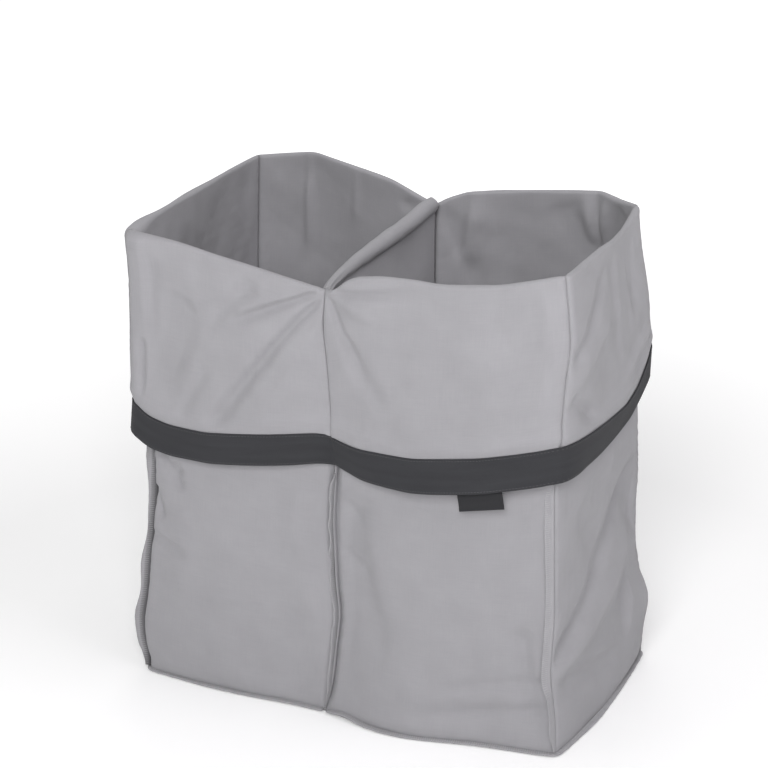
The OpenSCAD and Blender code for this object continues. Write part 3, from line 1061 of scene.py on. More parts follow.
@dataclass
class ClothBody:
    """The six wall panels and the two floor panels."""

    plan: BagPlan
    floor_rise: float = 0.0012
    floor_thickness: float = 0.0012
    floor_edge_height: float = 0.003
    floor_edge_out: float = -0.0015

    def build(self) -> list[Piece]:
        """Makes the panels, each with the folds that it shows when the bag stands empty."""
        plan, deep_left, deep_centre = self.plan, Valley(0.0085, 0.0060), Valley(0.0080, 0.0045)
        made = [
            ClothPanel("front_panel_left", Line.FRONT_LEFT, Line.FRONT_CENTRE, plan, 11,
                       self._left_wall(), self._left_cuff(), (deep_left, deep_centre)),
            ClothPanel("front_panel_right", Line.FRONT_CENTRE, Line.FRONT_RIGHT, plan, 12,
                       self._right_wall(), self._right_cuff(), (Valley(0.0080, 0.0062), Valley())),
            ClothPanel("side_panel_right", Line.FRONT_RIGHT, Line.BACK_RIGHT, plan, 13,
                       self._side_wall(), self._side_cuff()),
            ClothPanel("back_panel_right", Line.BACK_RIGHT, Line.BACK_CENTRE, plan, 14,
                       self._right_back_wall(), self._back_cuff(0.10)),
            ClothPanel("back_panel_left", Line.BACK_CENTRE, Line.BACK_LEFT, plan, 15,
                       self._left_back_wall(), self._back_cuff(0.06)),
            ClothPanel("side_panel_left", Line.BACK_LEFT, LINES, plan, 16,
                       (), self._far_side_cuff(), (Valley(), Valley(0.0085, 0.0050))),
        ]
        pieces = [panel.build() for panel in made]
        pieces.append(self._floor_panel("base_panel_left", (0.0, 1.0), (6.0, 5.0), (7.0, 6.0), 31))
        pieces.append(self._floor_panel("base_panel_right", (1.0, 2.0), (5.0, 3.0), (2.0, 3.0), 32))
        return pieces

    def _left_cuff(self) -> tuple[Fold, ...]:
        """Folds that radiate from the pinch at the divider, and a hollow by the corner."""
        pinch = self.plan.span_length(Line.FRONT_LEFT) - 0.002
        return (
            Fold((pinch, 0.552), (0.126, 0.500), -0.0045, 0.010, 0.0045, 0.0, 0.3),
            Fold((pinch, 0.556), (0.140, 0.522), 0.0022, 0.008, 0.008, 0.0, 0.3),
            Fold((0.160, 0.550), (0.098, 0.490), -0.0030, 0.012, 0.014),
            Fold((pinch - 0.002, 0.540), (0.096, 0.352), -0.0056, 0.012, 0.008, 0.008, 0.3),
            Fold((pinch + 0.004, 0.525), (0.146, 0.340), 0.0012, 0.014, 0.012, 0.004, 0.4),
            Fold((0.066, 0.520), (0.034, 0.390), -0.0055, 0.026, 0.020),
            Fold((0.098, 0.440), (0.060, 0.360), -0.0020, 0.009, 0.008),
            Fold((0.022, 0.570), (0.024, 0.400), -0.0026, 0.012, 0.018),
            Fold((0.012, 0.460), (0.014, 0.390), -0.0034, 0.0025, 0.0035),
            Fold((0.012, 0.600), (0.016, 0.470), 0.0020, 0.006, 0.006),
        )

    def _right_cuff(self) -> tuple[Fold, ...]:
        """Folds that radiate from the pinch at the divider, and the rolled edge under the rim."""
        return (
            Fold((0.004, 0.552), (0.118, 0.570), -0.0035, 0.005, 0.011, 0.004, 0.3),
            Fold((0.004, 0.548), (0.072, 0.524), 0.0020, 0.010, 0.009, 0.0, 0.3),
            Fold((0.006, 0.545), (0.052, 0.440), -0.0030, 0.008, 0.010, -0.003, 0.35),
            Fold((0.030, 0.500), (0.076, 0.420), -0.0018, 0.009, 0.010),
            Fold((0.262, 0.590), (0.268, 0.420), 0.0020, 0.010, 0.012),
            Fold((0.205, 0.570), (0.235, 0.470), -0.0014, 0.018, 0.016),
        )

    def _side_cuff(self) -> tuple[Fold, ...]:
        """Diagonal folds that rise from the front corner, and ridges by the back one."""
        return (
            Fold((0.004, 0.500), (0.110, 0.580), -0.0030, 0.012, 0.009, 0.004),
            Fold((0.010, 0.455), (0.075, 0.410), -0.0035, 0.009, 0.012),
            Fold((0.004, 0.470), (0.120, 0.530), 0.0018, 0.012, 0.014),
            Fold((0.135, 0.585), (0.138, 0.450), -0.0018, 0.010, 0.018),
            Fold((0.215, 0.600), (0.205, 0.500), -0.0040, 0.014, 0.010),
            Fold((0.250, 0.470), (0.150, 0.430), 0.0026, 0.010, 0.009, 0.004),
        )

    def _back_cuff(self, where: float) -> tuple[Fold, ...]:
        """Soft folds on a back panel's cuff.

        Args:
            where: Distance of the folds from the panel's first corner line.

        Returns:
            The folds.
        """
        return (
            Fold((where, 0.585), (where + 0.04, 0.46), -0.0030, 0.014, 0.018),
            Fold((where + 0.09, 0.590), (where + 0.05, 0.45), -0.0024, 0.010, 0.016, 0.006),
        )

    def _far_side_cuff(self) -> tuple[Fold, ...]:
        """Soft folds on the left side's cuff."""
        return (
            Fold((0.080, 0.585), (0.120, 0.430), -0.0030, 0.016, 0.022),
            Fold((0.230, 0.580), (0.200, 0.440), -0.0035, 0.014, 0.020, 0.006),
        )

    def _left_wall(self) -> tuple[Fold, ...]:
        """Dimples by the left corner, under the band."""
        return (
            Fold((0.018, 0.312), (0.052, 0.268), -0.0040, 0.007, 0.006),
            Fold((0.040, 0.305), (0.048, 0.285), -0.0026, 0.006, 0.007),
            Fold((0.004, 0.262), (0.022, 0.222), -0.0040, 0.008, 0.006),
            Fold((0.004, 0.196), (0.060, 0.182), -0.0028, 0.007, 0.009),
            Fold((0.050, 0.240), (0.058, 0.080), 0.0016, 0.024, 0.020),
            Fold((0.200, 0.300), (0.224, 0.060), 0.0016, 0.022, 0.014),
        )

    def _right_wall(self) -> tuple[Fold, ...]:
        """Slack beside the centre seam and the kinked right corner."""
        return (
            Fold((0.022, 0.300), (0.020, 0.060), -0.0016, 0.012, 0.014),
            Fold((0.034, 0.300), (0.062, 0.110), -0.0036, 0.016, 0.030, 0.006),
            Fold((0.012, 0.285), (0.040, 0.262), -0.0016, 0.006, 0.007),
            Fold((0.010, 0.220), (0.050, 0.200), -0.0014, 0.006, 0.009),
            Fold((0.245, 0.160), (0.262, 0.040), -0.0030, 0.010, 0.012),
            Fold((0.292, 0.092), (0.150, 0.070), -0.0022, 0.006, 0.009, 0.004),
            Fold((0.292, 0.058), (0.170, 0.040), -0.0018, 0.005, 0.008, 0.003),
            Fold((0.110, 0.030), (0.230, 0.050), -0.0016, 0.012, 0.010),
        )

    def _side_wall(self) -> tuple[Fold, ...]:
        """Folds that fan up from the lower front corner, with a hollow above and a full belly below."""
        return (
            Fold((0.010, 0.120), (0.235, 0.285), -0.0050, 0.030, 0.014, 0.010, 0.5),
            Fold((0.010, 0.105), (0.245, 0.200), 0.0050, 0.022, 0.030, 0.006, 0.5),
            Fold((0.020, 0.085), (0.180, 0.060), -0.0030, 0.010, 0.014),
            Fold((0.215, 0.290), (0.262, 0.180), -0.0065, 0.030, 0.030),
            Fold((0.200, 0.110), (0.290, 0.090), 0.0060, 0.035, 0.040),
            Fold((0.060, 0.300), (0.120, 0.200), -0.0020, 0.022, 0.020),
        )

    def _right_back_wall(self) -> tuple[Fold, ...]:
        """Crumpled facets by the slanted corner, and a crease that falls from the rim by the divider."""
        slant = self.plan.span_length(Line.BACK_RIGHT)
        end = slant + self.plan.span_length(Line.SLANT)
        return (
            Fold((slant + 0.056, 0.580), (slant + 0.012, 0.500), 0.0034, 0.020, 0.026, 0.006),
            Fold((slant + 0.020, 0.600), (slant + 0.012, 0.530), -0.0050, 0.012, 0.012),
            Fold((0.030, 0.600), (0.060, 0.520), 0.0045, 0.010, 0.016),
            Fold((0.058, 0.595), (0.072, 0.480), -0.0040, 0.010, 0.010),
            Fold((end - 0.052, 0.595), (end - 0.030, 0.480), -0.0050, 0.008, 0.022, 0.004),
            Fold((end - 0.012, 0.565), (end - 0.060, 0.440), 0.0030, 0.010, 0.014),
        )

    def _left_back_wall(self) -> tuple[Fold, ...]:
        """A sharp crease under the raised point of the rim, and soft ones by the divider."""
        end = self.plan.span_length(Line.BACK_CENTRE)
        return (
            Fold((end * 0.72, 0.615), (end * 0.735, 0.480), -0.0030, 0.004, 0.006),
            Fold((end * 0.72, 0.615), (end * 0.60, 0.500), 0.0030, 0.014, 0.022),
            Fold((end * 0.46, 0.600), (end * 0.47, 0.520), -0.0014, 0.004, 0.005),
            Fold((0.006, 0.560), (0.070, 0.470), -0.0045, 0.010, 0.016, 0.006),
            Fold((0.004, 0.572), (0.050, 0.560), 0.0030, 0.006, 0.010),
        )

    def _floor_panel(self, node: str, front: Pair, back: Pair, outer: Pair, seed: int) -> Piece:
        """A floor panel with slight swells and a dip at its border.

        Args:
            node: The part that it belongs to.
            front: Stations of the front edge's two ends, left then right.
            back: Stations of the back edge's two ends, left then right.
            outer: Stations of the edge under the side wall, front then back.
            seed: Which swells it has.

        Returns:
            The panel, ruled from its front edge to its back edge and drawn out to the side wall's curve.
        """
        across, deep = np.linspace(0, 1, 70)[None, :], np.linspace(0, 1, 84)[:, None]
        near, far, wall = (
            self.plan.point(mix(*ends, share), self.floor_edge_height, self.floor_edge_out)
            for ends, share in ((front, across), (back, across), (outer, deep)))
        points = mix(near, far, deep[..., None])
        column, share = (0, 1 - across) if outer[0] > back[0] else (-1, across)
        points = points + (wall - points[:, [column]]) * (share**2)[..., None]
        edge = np.minimum(np.minimum(across, 1 - across), np.minimum(deep, 1 - deep))
        x, y = points[..., 0], points[..., 1]
        swell = 0.0016 * (1 + ripple(x, y, 0.12, seed)) + 0.0005 * ripple(x, y, 0.035, seed + 1)
        points[..., 2] = self.floor_rise + np.maximum(swell, 0) * smooth(0.01, 0.16, edge)
        piece = thicken(surface(node + "_cloth", points, points[..., :2]), self.floor_thickness)
        Finish.GREY_COTTON.dress(piece)
        return settle(piece, node)


@dataclass
class Divider:
    """The cloth wall between the compartments, with the round sleeve along its top."""

    plan: BagPlan
    slack: float = 0.004
    depth: float = 0.28
    front_height: float = 0.5455
    back_height: float = 0.5690
    sag: float = 0.005
    bow: float = 0.014
    front_radius: float = 0.0046
    back_radius: float = 0.0102
    mean_radius: float = 0.008
    thickness: float = 0.0011
    flat: Pair = (0.29, 0.56)

    def build(self) -> list[Piece]:
        """Makes the divider, its sleeve, the roll inside it and its stitching."""
        return [self._panel(), self._sleeve(), self._core(), self._rows(), self._tacks()]

    def axis(self, s: Array) -> Array:
        """The sleeve's centre line, from the front pinch to the back one, with a slight sag and bow.

        Args:
            s: Shares of the sleeve's length, from front to back.

        Returns:
            Places on the centre line.
        """
        front = self.plan.point(Line.FRONT_CENTRE, 0.545, -0.001)
        back = self.plan.point(Line.BACK_CENTRE, 0.566, -0.004)
        line = mix(front, back, s[..., None])
        line[..., 2] = mix(self.front_height, self.back_height, s) - self.sag * np.sin(math.pi * s)
        line[..., 2] += 0.003 * bump(s, 0.93, 0.08)
        line[..., 0] -= self.bow * np.sin(math.pi * s**0.7)
        return line

    def radius(self, s: Array) -> Array:
        """The sleeve's radius: narrow at the pinch, fuller towards the back, and rounded off at both ends.

        Args:
            s: Shares of the sleeve's length, from front to back.

        Returns:
            Radii.
        """
        body = mix(self.front_radius, self.back_radius, smooth(-0.1, 0.7, s) ** 0.8)
        ends = np.clip((s - 0.965) / 0.035, 0, 1) + np.clip((0.02 - s) / 0.02, 0, 1)
        return body * np.sqrt(1 - ends**2)

    def _panel(self) -> Piece:
        """A wall from one centre line to the other, hung from the sleeve, with a slack belly to the right."""
        s, up = np.linspace(0, 1, 90)[None, :], np.linspace(0, 1, 150)[:, None]
        top = self.axis(s)[..., 2] - self.radius(s) * 0.9
        z = mix(0.004, top, up)
        front, back = (self.plan.point(line, z, -0.0015) for line in (Line.FRONT_CENTRE, Line.BACK_CENTRE))
        points = mix(front, back, s[..., None])
        calm = smooth(0, 0.1, s) * smooth(0, 0.1, 1 - s) * smooth(0, 0.12, up) * smooth(0, 0.03, 1 - up)
        y = s * self.depth
        sway = self.slack * ripple(y, z, 0.2, 61) + 0.0012 * ripple(y, z, 0.06, 62)
        belly = 0.021 * bump(s, 0.18, 0.16) * bump(up, 0.95, 0.03)
        belly = belly + 0.006 * bump(s, 0.5, 0.4) * bump(up, 0.6, 0.3)
        to_sleeve = (self.axis(s)[..., 0] - points[-1:, :, 0]) * smooth(0.8, 1, up)
        points[..., 0] += (sway + belly) * calm + to_sleeve
        uv = np.stack(np.broadcast_arrays(y, z), -1)
        piece = thicken(surface("divider_panel_cloth", points, uv), self.thickness)
        Finish.GREY_COTTON.dress(piece)
        return settle(piece, "divider_panel")

    def _sleeve(self) -> Piece:
        """A filled tube round the axis, with lengthwise drag lines at the pinch, drawn down at its seam."""
        s = np.linspace(0, 1, 150)
        angle = np.linspace(0, 2 * math.pi, 40, endpoint=False)[None, :]
        around = angle * self.mean_radius
        length = s[:, None] * self.depth
        drag = 0.10 * np.sin(7 * angle + 1) * (1 - smooth(0.02, 0.3, s))[:, None]
        dents = 0.05 * ripple(length, around, 0.03, 63)
        lower = 0.12 * bump(angle, 1.5 * math.pi, 0.5)
        size = np.maximum(self.radius(s)[:, None] * (1 + drag + dents + lower), 1e-5)
        centre = self.axis(s)
        along = unit(np.gradient(centre, axis=0))
        side = unit(np.cross(along, UP))
        over = np.cross(side, along)
        ring = np.cos(angle)[..., None] * side[:, None] + np.sin(angle)[..., None] * over[:, None]
        points = centre[:, None] + size[..., None] * ring
        uv = np.stack(np.broadcast_arrays(around, length), -1)
        piece = surface("divider_sleeve_cloth", points, uv, closed=(False, True))
        Finish.GREY_COTTON.dress(piece)
        return settle(piece, "divider_sleeve")

    def _core(self) -> Piece:
        """The roll of filler that keeps the sleeve round."""
        s = np.linspace(0.04, 0.95, 60)
        piece = tube("sleeve_core_roll", self.axis(s), self.radius(s) * 0.72, 16)
        Finish.COTTON_FILLER.dress(piece)
        return settle(piece, "sleeve_core")

    def _rows(self) -> Piece:
        """Two rows of stitches just under the sleeve, one on each face of the divider."""
        s = np.arange(0.06, 0.95, 0.0128)
        centre = self.axis(s)
        along = unit(np.gradient(centre, axis=0))
        side = unit(np.cross(along, UP))
        low = centre - UP * (self.radius(s) + 0.0022)[:, None]
        places = np.concatenate([low + side * 0.0009, low - side * 0.0009])
        both = np.concatenate([along, along])
        out = np.concatenate([side, -side])
        piece = stitches("sleeve_stitching_thread", places, both, out, (0.0026, 0.0006))
        return settle(Finish.GREY_THREAD.dress(piece), "sleeve_stitching")

    def _tacks(self) -> Piece:
        """Bar tacks at the two ends of the sleeve: close stitches laid across it."""
        places, along, out = [], [], []
        count = 9
        for s, width in ((0.012, 0.0045), (0.975, 0.006)):
            spread = np.linspace(-1, 1, count)
            centre = self.axis(np.array([s]))[0]
            rise = np.sqrt(1 - (0.9 * spread) ** 2) * self.radius(np.array([s]))[0]
            places.append(centre + np.stack([spread * width, 0 * spread, rise + 0.0002], -1))
            along.append(np.tile([0.15, 1.0, 0.1], (count, 1)))
            out.append(np.tile([0.0, 0.0, 1.0], (count, 1)))
        both = unit(np.concatenate(along))
        size = (0.0042, 0.0009)
        piece = stitches("sleeve_end_tacks_thread", np.concatenate(places), both, np.concatenate(out), size)
        return settle(Finish.GREY_THREAD.dress(piece), "sleeve_end_tacks")


@dataclass
class HemBand:
    """The dark webbing band that is sewn over the hem of the cuff, and laps over itself at the back."""

    plan: BagPlan
    thick: float = 0.0017
    stand: float = 0.0140
    lap: float = 0.028
    lap_gap: float = 0.0005
    selvedge: float = 0.0025
    ease: float = 1.02
    stitch: Pair = (0.0027, 0.0006)

    def build(self) -> list[Piece]:
        """Makes the band and the two rows of thread along it."""
        return [self._band(), self._rows()]

    def _route(self, step: float, first: float, last: float) -> tuple[Array, Array, Array]:
        """Stations from one place behind the bag round to another, and how far the lap lifts the band there.

        Args:
            step: Distance between stations.
            first: Distance of the first one after the back centre line.
            last: Distance of the last one after the back centre line, the second time round.

        Returns:
            Stations, lifts and distances along the band.
        """
        start, whole = self.plan.way_to(Line.BACK_CENTRE), self.plan.way_to(LINES)
        run = np.linspace(first, whole + last, int((whole + last - first) / step))
        lift = (self.thick + self.lap_gap) * smooth(whole - 0.016, whole, run)
        return self.plan.station_at(start + run), lift, run

    def _face(self, station: Array, lift: Array, share: Array, out: Array) -> Array:
        """A place on the band: at a share of its height, and a distance outside its inner face.

        Args:
            station: Stations.
            lift: How far the lap lifts the band there.
            share: Shares of the band's height.
            out: Distances outside the band's inner face.

        Returns:
            Places on the band.
        """
        z = self.plan.hem(station) + share * self.plan.band
        wave = 0.0006 * ripple(station * 0.25, share * 0.02, 0.11, 71)
        tuck = 0.0022 * sum(bump(station, line, 0.05) for line in (Line.FRONT_CENTRE, Line.BACK_CENTRE))
        stand = self.stand + lift + wave - tuck + self.plan.flare(station, z)
        return self.plan.cuff_point(station, z, stand + out)

    def _band(self) -> Piece:
        """The band's section is a thin rounded rectangle with a thicker woven edge above and below."""
        station, lift, run = self._route(0.004, 0.0, self.lap)
        rising = np.linspace(0, 1, 26)
        share = np.concatenate([rising, rising[::-1]])
        outer = np.repeat([1.0, 0.0], len(rising))
        from_edge = np.minimum(share, 1 - share) * self.plan.band
        plump = smooth(-0.0003, 0.0009, from_edge)
        ridge = 0.00035 * (smooth(0, 0.0006, from_edge) - smooth(0.0006, self.selvedge, from_edge))
        level = self.thick * (0.5 + (outer - 0.5) * plump) + ridge * (2 * outer - 1)
        points = self._face(station[:, None], lift[:, None], share[None, :], level[None, :])
        uv = np.stack(np.broadcast_arrays(run[:, None], share[None, :] * self.plan.band), -1)
        points, uv = self._ends(points), np.concatenate([uv[:1], uv, uv[-1:]])
        piece = surface("hem_band_webbing", points, uv, closed=(False, True))
        Finish.CHARCOAL_WEBBING.dress(piece)
        return settle(piece, "hem_band")

    def _ends(self, points: Array) -> Array:
        """Closes both cut ends by drawing a last row together at the middle of the thickness.

        Args:
            points: The band's sections, one a row.

        Returns:
            The sections, with one more row at each end.
        """
        middle = (points + points[:, ::-1]) / 2
        return np.concatenate([middle[:1], points, middle[-1:]])

    def _rows(self) -> Piece:
        """A row of stitches along each edge, and a box of stitches where the band laps over itself."""
        places, along, out = [], [], []
        margin = 0.004
        for share in (0.065, 0.935):
            station, lift, _ = self._route(0.0036, self.lap + margin, self.lap - margin)
            lower, upper = self._two_depths(station, lift, np.full(station.shape, share))
            places.append(lower)
            along.append(unit(np.gradient(lower, axis=0)))
            out.append(unit(upper - lower))
        share = np.arange(0.1, 0.93, 0.085)
        for distance in (margin, self.lap - margin):
            way = self.plan.way_to(Line.BACK_CENTRE) + distance
            station = np.full(share.shape, self.plan.station_at(way))
            lower, upper = self._two_depths(station, np.full(share.shape, self.thick + self.lap_gap), share)
            places.append(lower)
            along.append(np.tile(UP, (len(share), 1)))
            out.append(unit(upper - lower))
        parts = (np.concatenate(rows) for rows in (places, along, out))
        piece = stitches("band_stitching_thread", *parts, self.stitch)
        return settle(Finish.CHARCOAL_THREAD.dress(piece), "band_stitching")

    def _two_depths(self, station: Array, lift: Array, share: Array) -> tuple[Array, Array]:
        """Places on the band's outer face, and the same a millimetre further out.

        Args:
            station: Stations.
            lift: How far the lap lifts the band there.
            share: Shares of the band's height.

        Returns:
            The places on the face, and those further out.
        """
        on_face = self._face(station, lift, share, self.thick)
        return on_face, self._face(station, lift, share, self.thick + 0.001)


@dataclass
class OverlockedSeam:
    """A seam allowance that stands out of the bag: a narrow flap of cloth with looped thread round its edge.

    Row by row the flap leaves the seam at a lean angle between the outward and the sideways direction, and
    curls by a further angle towards its edge. The thread is a flattened helix round the flap's outer part. A
    flap in a valley has painted shade at its root, and any other starts past the painted shade.
    """

    node: str
    root: Array
    out: Array
    side: Array
    lean: Array
    curl: Array
    width: Array
    strand: float = 0.00042
    in_valley: bool = False
    loop: float = 0.0027
    thick: float = 0.0013
    past_painted_shade: float = 0.02
    ease_across: float = 1.05
    ease_along: float = 1.03
    loop_middle: float = 0.66
    loop_reach: float = 0.37

    def at(self, share: Array) -> tuple[Array, Array]:
        """Places at a share of the width, and the direction of the flap there.

        Args:
            share: Shares of the width, rows or a single row.

        Returns:
            Places, and directions across the flap.
        """
        angle = self.lean[:, None] + self.curl[:, None] * share / 2
        turn = self.lean[:, None] + self.curl[:, None] * share
        reach = self.width[:, None] * share
        both = self.out[:, None], self.side[:, None]
        chord, tip = (np.cos(x)[..., None] * both[0] + np.sin(x)[..., None] * both[1] for x in (angle, turn))
        return self.root[:, None] + reach[..., None] * chord, tip

    def build(self) -> list[Piece]:
        """Makes the flap and its thread."""
        share = np.linspace(0, 1, 9)[None, :]
        points, _ = self.at(share)
        length = np.concatenate([[0], np.cumsum(np.linalg.norm(np.diff(self.root, axis=0), axis=1))])
        # A flap in a valley starts its UV at the root, where the painted shade lies; any other starts past
        # it.
        across = share * self.width[:, None] + (0.0 if self.in_valley else self.past_painted_shade)
        uv = np.stack(np.broadcast_arrays(across, length[:, None]), -1)
        flap = thicken(surface(self.node + "_flap", points, uv), self.thick)
        Finish.OVERLOCK_EDGE.dress(flap)
        return [settle(flap, self.node), self._thread(length)]

    def _thread(self, length: Array) -> Piece:
        """The overlock thread: a helix whose turns are a loop apart, flattened onto the flap's two faces.

        Args:
            length: Distances along the flap's root.

        Returns:
            The thread.
        """
        turns, per_turn = length[-1] / self.loop, 9
        t = np.linspace(0, 1, int(turns * per_turn))
        run_length = t * length[-1]
        where = np.interp(run_length, length, np.arange(len(length)))
        low = np.minimum(where.astype(int), len(length) - 2)
        part = (where - low)[:, None]
        edge, direction = self.at(np.array([[self.loop_middle]]))
        run = unit(np.gradient(edge[:, 0], axis=0))
        normal = unit(np.cross(run, direction[:, 0]))
        centre, flat, up = (mix(v[low], v[low + 1], part) for v in (edge[:, 0], direction[:, 0], normal))
        reach = np.interp(run_length, length, self.width)[:, None] * self.loop_reach
        rise = self.thick / 2 + self.strand
        turn = (2 * math.pi * turns * t)[:, None]
        jitter = 1 + 500 * self.strand * ripple(run_length, 0 * t, 0.006, 91)[:, None]
        path = centre + (flat * np.cos(turn) * reach + up * np.sin(turn) * rise) * jitter
        piece = tube(self.node + "_thread", path, self.strand, 5)
        return settle(Finish.GREY_THREAD.dress(piece), self.node)


@dataclass(frozen=True)
class SeamLie:
    """How a corner seam's flap lies: its lean from straight out, its curl, and how wavy it is, in degrees.

    Sunk is how deep its root lies between the panels, strand its thread's radius, kink how far its foot
    twists, in degrees, and uneven how much its width changes.
    """

    line: Line
    node: str
    lean: float
    curl: float
    wave: float
    wave_length: float = 0.09
    sunk: float = 0.0024
    strand: float = 0.00042
    kink: float = 0.0
    width: float = 0.0115
    uneven: float = 0.06


@dataclass
class Seams:
    """All the overlocked seams on the outside of the bag."""

    plan: BagPlan
    lowest: float = 0.006
    under_cuff: float = 0.012
    step: float = 0.0022
    in_valley_from: float = 0.005
    border_width: float = 0.0105
    border_step: float = 0.0025
    border_tuck: float = 0.0052
    border_lean: float = -6.0
    lies: tuple[SeamLie, ...] = (
        SeamLie(Line.FRONT_LEFT, "seam_front_left", -26, -18, 18, 0.13, 0.0082, 0.00014, 0.0, 0.0150, 0.30),
        SeamLie(Line.FRONT_CENTRE, "seam_front_centre", -12, -26, 16, 0.06, 0.0078, 0.00050),
        SeamLie(Line.FRONT_RIGHT, "seam_front_right", -98, -6, 5, 0.15, 0.0012, 0.00020, 40.0),
        SeamLie(Line.BACK_RIGHT, "seam_back_right", 76, 14, 9),
        SeamLie(Line.BACK_CENTRE, "seam_back_centre", 24, -12, 15),
        SeamLie(Line.BACK_LEFT, "seam_back_left", -18, 12, 18),
    )

    def build(self) -> list[Piece]:
        """Makes the corner seams, then the seams round the two floor panels."""
        pieces = []
        for seed, lie in enumerate(self.lies):
            pieces += self._corner(lie, seed).build()
        pieces += self._border("base_seam_left", 5.0, 8.0, 101).build()
        pieces += self._border("base_seam_right", 1.0, 5.0, 102).build()
        return pieces

    def _corner(self, lie: SeamLie, seed: int) -> OverlockedSeam:
        """A seam up a corner line, from just over the floor to under the cuff.

        Args:
            lie: How the seam's flap lies.
            seed: Which waves it has.

        Returns:
            The seam, ready to build.
        """
        hem = float(self.plan.hem(np.array(float(lie.line))))
        z = np.arange(self.lowest, hem + self.under_cuff, self.step)
        station = np.full(z.shape, float(lie.line))
        out = self.plan.out(station, z)
        frill = 600 * lie.strand * ripple(z, 0 * z, 0.016, 90 + seed)
        wave = ripple(z, 0 * z, lie.wave_length, 80 + seed) + frill
        lean = np.radians(lie.lean + lie.wave * wave + lie.kink * smooth(0.096, 0.074, z))
        curl = np.radians(lie.curl + 1.4 * lie.wave * ripple(z, 0 * z, lie.wave_length * 0.7, 110 + seed))
        pressed = mix(1.0, 0.3, smooth(hem - 0.03, hem, z)) * mix(0.4, 1.0, smooth(self.lowest, 0.034, z))
        width = lie.width * (1 + lie.uneven * ripple(z, 0 * z, 0.09, 120 + seed)) * pressed
        sunk = lie.sunk * smooth(0.0, 0.03, z) * (1 - smooth(hem - 0.004, hem + 0.008, z))
        root = self.plan.point(station, z, 0.0006 - sunk)
        side, in_valley = np.cross(UP, out), lie.sunk > self.in_valley_from
        return OverlockedSeam(lie.node, root, out, side, lean, curl, width, lie.strand, in_valley)

    def _border(self, node: str, first: float, last: float, seed: int) -> OverlockedSeam:
        """A seam along the floor, from one station round to another. Its inner half lies under the wall.

        Args:
            node: The part that it stands for.
            first: Station where it starts.
            last: Station where it ends, past the full round if need be.
            seed: Which waves it has.

        Returns:
            The seam, ready to build.
        """
        plan, margin = self.plan, 0.003
        run = np.arange(plan.way_to(first) + margin, plan.way_to(last) - margin, self.border_step)
        station = plan.station_at(run)
        foot = plan.foot(station)
        stray = 0.0014 * ripple(run, 0 * run, 0.16, seed + 2)
        root = plan.point(station, foot + 0.0020, stray - self.border_tuck)
        out = plan.out(station, foot)
        wave = ripple(run, 0 * run, 0.07, seed) + 0.4 * ripple(run, 0 * run, 0.014, seed + 1)
        lean = np.radians(self.border_lean + 4 * wave)
        width = self.border_width * (1 + 0.05 * wave)
        return OverlockedSeam(node, root, out, np.tile(UP, (len(run), 1)), lean, np.radians(4 * wave), width)


@dataclass
class Label:
    """The small plain ribbon that is folded in half and sewn in under the band."""

    ply: float = 0.0005
    drop: float = 0.0212
    fold: float = 0.00045
    narrower: float = 0.95
    bow: float = 0.0010
    corner_lift: float = 0.0012
    slope: float = 0.00192

    def build(self) -> list[Piece]:
        """Makes the folded ribbon where the frame's label hangs.

        Its section runs down the front ply, half round the fold and up the back ply. Across its width it bows
        out, its lower corners turn out a little more, and its right end hangs slightly higher.
        """
        joint = next(j for j in frame["joints"] if j["name"] == "label_flip")
        pivot, right = np.array(joint["pos_m"]), -unit(np.array(joint["axis"]))
        down = unit(-UP + right * right[2])
        front = np.cross(down, right)
        low, high = (np.array(c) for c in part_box("label_tab"))
        width = self.narrower * (high - low)[0] / (right[0] + 0.37 * abs(right[2]))
        across = np.linspace(-0.5, 0.5, 40)[None, :]
        ply_rows, fold_rows = 18, 5
        falling, flat = np.linspace(0, 1, ply_rows), np.zeros(ply_rows)
        fall = np.concatenate([falling, np.ones(fold_rows), falling[::-1]])[:, None]
        half_turn = np.linspace(0, math.pi, fold_rows + 2)[1:-1]
        turn = np.concatenate([flat, half_turn, flat + math.pi])[:, None]
        corner = self.corner_lift * fall**3 * np.abs(2 * across) ** 3
        depth = np.cos(turn) * self.fold + self.bow * (1 - (2 * across) ** 2) * fall + corner
        below = fall * (self.drop - self.fold) + np.sin(turn) * self.fold
        points = pivot + (across * width)[..., None] * right + below[..., None] * down
        points = points + depth[..., None] * front + (self.slope * across * fall)[..., None] * UP
        uv = np.stack(np.broadcast_arrays(across * width, fall * self.drop * np.cos(turn)), -1)
        piece = thicken(surface("label_tab_ribbon", points, uv), self.ply)
        Finish.LABEL_RIBBON.dress(piece)
        return [settle(piece, "label_tab", "label")]


@dataclass(frozen=True)
class Softbox:
    """A square lamp that faces the bag."""

    name: str
    place: Triple
    size: float
    power: float
    colour: Triple = (1.0, 1.0, 1.0)

    def build(self, aim: Vector) -> None:
        """Sets the lamp up and turns it to the place that it lights.

        Args:
            aim: The place that it lights.
        """
        lamp = bpy.data.lights.new(self.name, "AREA")
        lamp.size = self.size
        lamp.energy = self.power
        lamp.color = self.colour
        holder = bpy.data.objects.new(self.name, lamp)
        holder.location = self.place
        holder.rotation_mode = "QUATERNION"
        holder.rotation_quaternion = (aim - Vector(self.place)).to_track_quat("-Z", "Y")
        bpy.context.scene.collection.objects.link(holder)


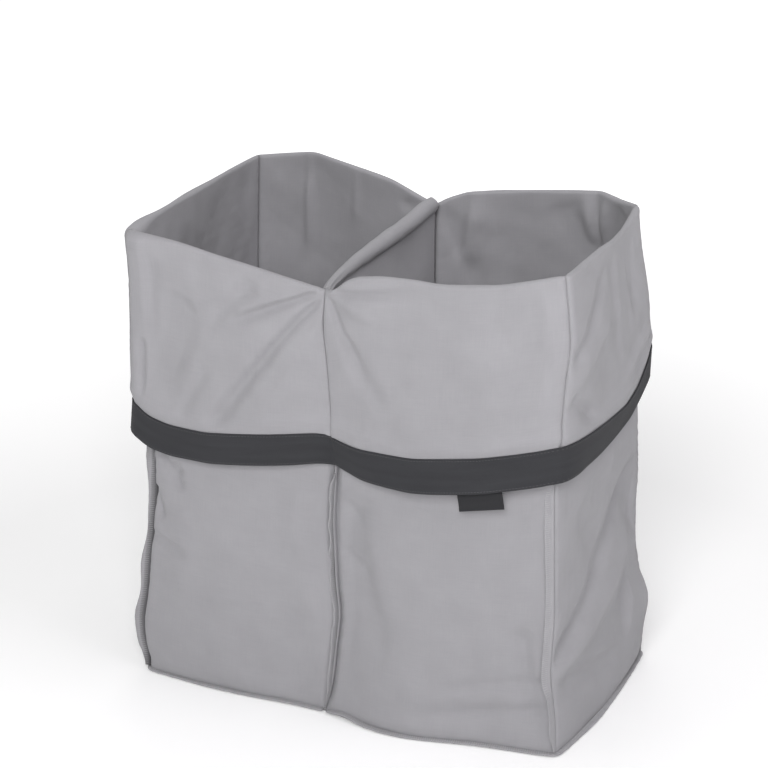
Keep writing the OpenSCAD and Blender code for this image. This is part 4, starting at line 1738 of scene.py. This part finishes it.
@dataclass
class Studio:
    """The floor, the lights and the camera, whose angles are in degrees."""

    azimuth: float = 23.23
    elevation: float = 20.91
    distance: float = 2.948
    target: Triple = (-0.019, 0.0, 0.377)
    lens: float = 112.5
    sensor: float = 36.0
    surround: float = 0.34
    aim: Triple = (0.0, 0.0, 0.3)
    lamps: tuple[Softbox, ...] = (
        Softbox("key", (0.9, -3.0, 2.3), 1.5, 92.0, (1.0, 0.995, 1.0)),
        Softbox("fill", (2.5, -0.5, 2.6), 1.8, 22.0, (0.985, 0.95, 1.0)),
        Softbox("back", (-1.2, 3.0, 2.4), 1.8, 15.0),
        Softbox("top", (-0.3, 0.0, 3.4), 2.4, 20.0),
    )

    def build(self) -> None:
        """Sets up the studio round the bag."""
        self._floor()
        self._world()
        for lamp in self.lamps:
            lamp.build(Vector(self.aim))
        self._camera()

    def _floor(self) -> None:
        """A wide plain floor at height 0."""
        side = np.linspace(-30, 30, 3)
        points = np.stack(np.broadcast_arrays(side[None, :], side[:, None], np.array(0.0)), -1)
        piece = surface("studio_floor", points, points[..., :2])
        Finish.FLOOR.dress(piece)

    def _world(self) -> None:
        """An even white surround."""
        world = bpy.data.worlds.new("studio")
        world.use_nodes = True
        background = world.node_tree.nodes["Background"]
        background.inputs["Color"].default_value = (1.0, 1.0, 1.0, 1.0)
        background.inputs["Strength"].default_value = self.surround
        bpy.context.scene.world = world
        bpy.context.scene.view_settings.view_transform = "Standard"

    def _camera(self) -> None:
        """A long lens that looks down at the front and the right side."""
        turn, tilt = math.radians(self.azimuth), math.radians(self.elevation)
        back = Vector((math.sin(turn) * math.cos(tilt), -math.cos(turn) * math.cos(tilt), math.sin(tilt)))
        camera = bpy.data.cameras.new("camera")
        camera.lens = self.lens
        camera.sensor_width = self.sensor
        holder = bpy.data.objects.new("camera", camera)
        holder.location = Vector(self.target) + back * self.distance
        holder.rotation_mode = "QUATERNION"
        holder.rotation_quaternion = (-back).to_track_quat("-Z", "Y")
        bpy.context.scene.collection.objects.link(holder)
        bpy.context.scene.camera = holder


def main() -> None:
    """Builds the pieces in order, ties each to its body and to the frame's node, and sets up the studio."""
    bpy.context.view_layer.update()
    plan = BagPlan()
    makers = (ClothBody(plan), Divider(plan), HemBand(plan), Seams(plan), Label())
    for maker in makers:
        for piece in maker.build():
            log.info("%s: %s, %d faces", type(maker).__name__, piece.name, len(piece.data.polygons))
    Studio().build()


if __name__ == "__main__":
    logging.basicConfig(level=logging.INFO, format="%(message)s")
    main()
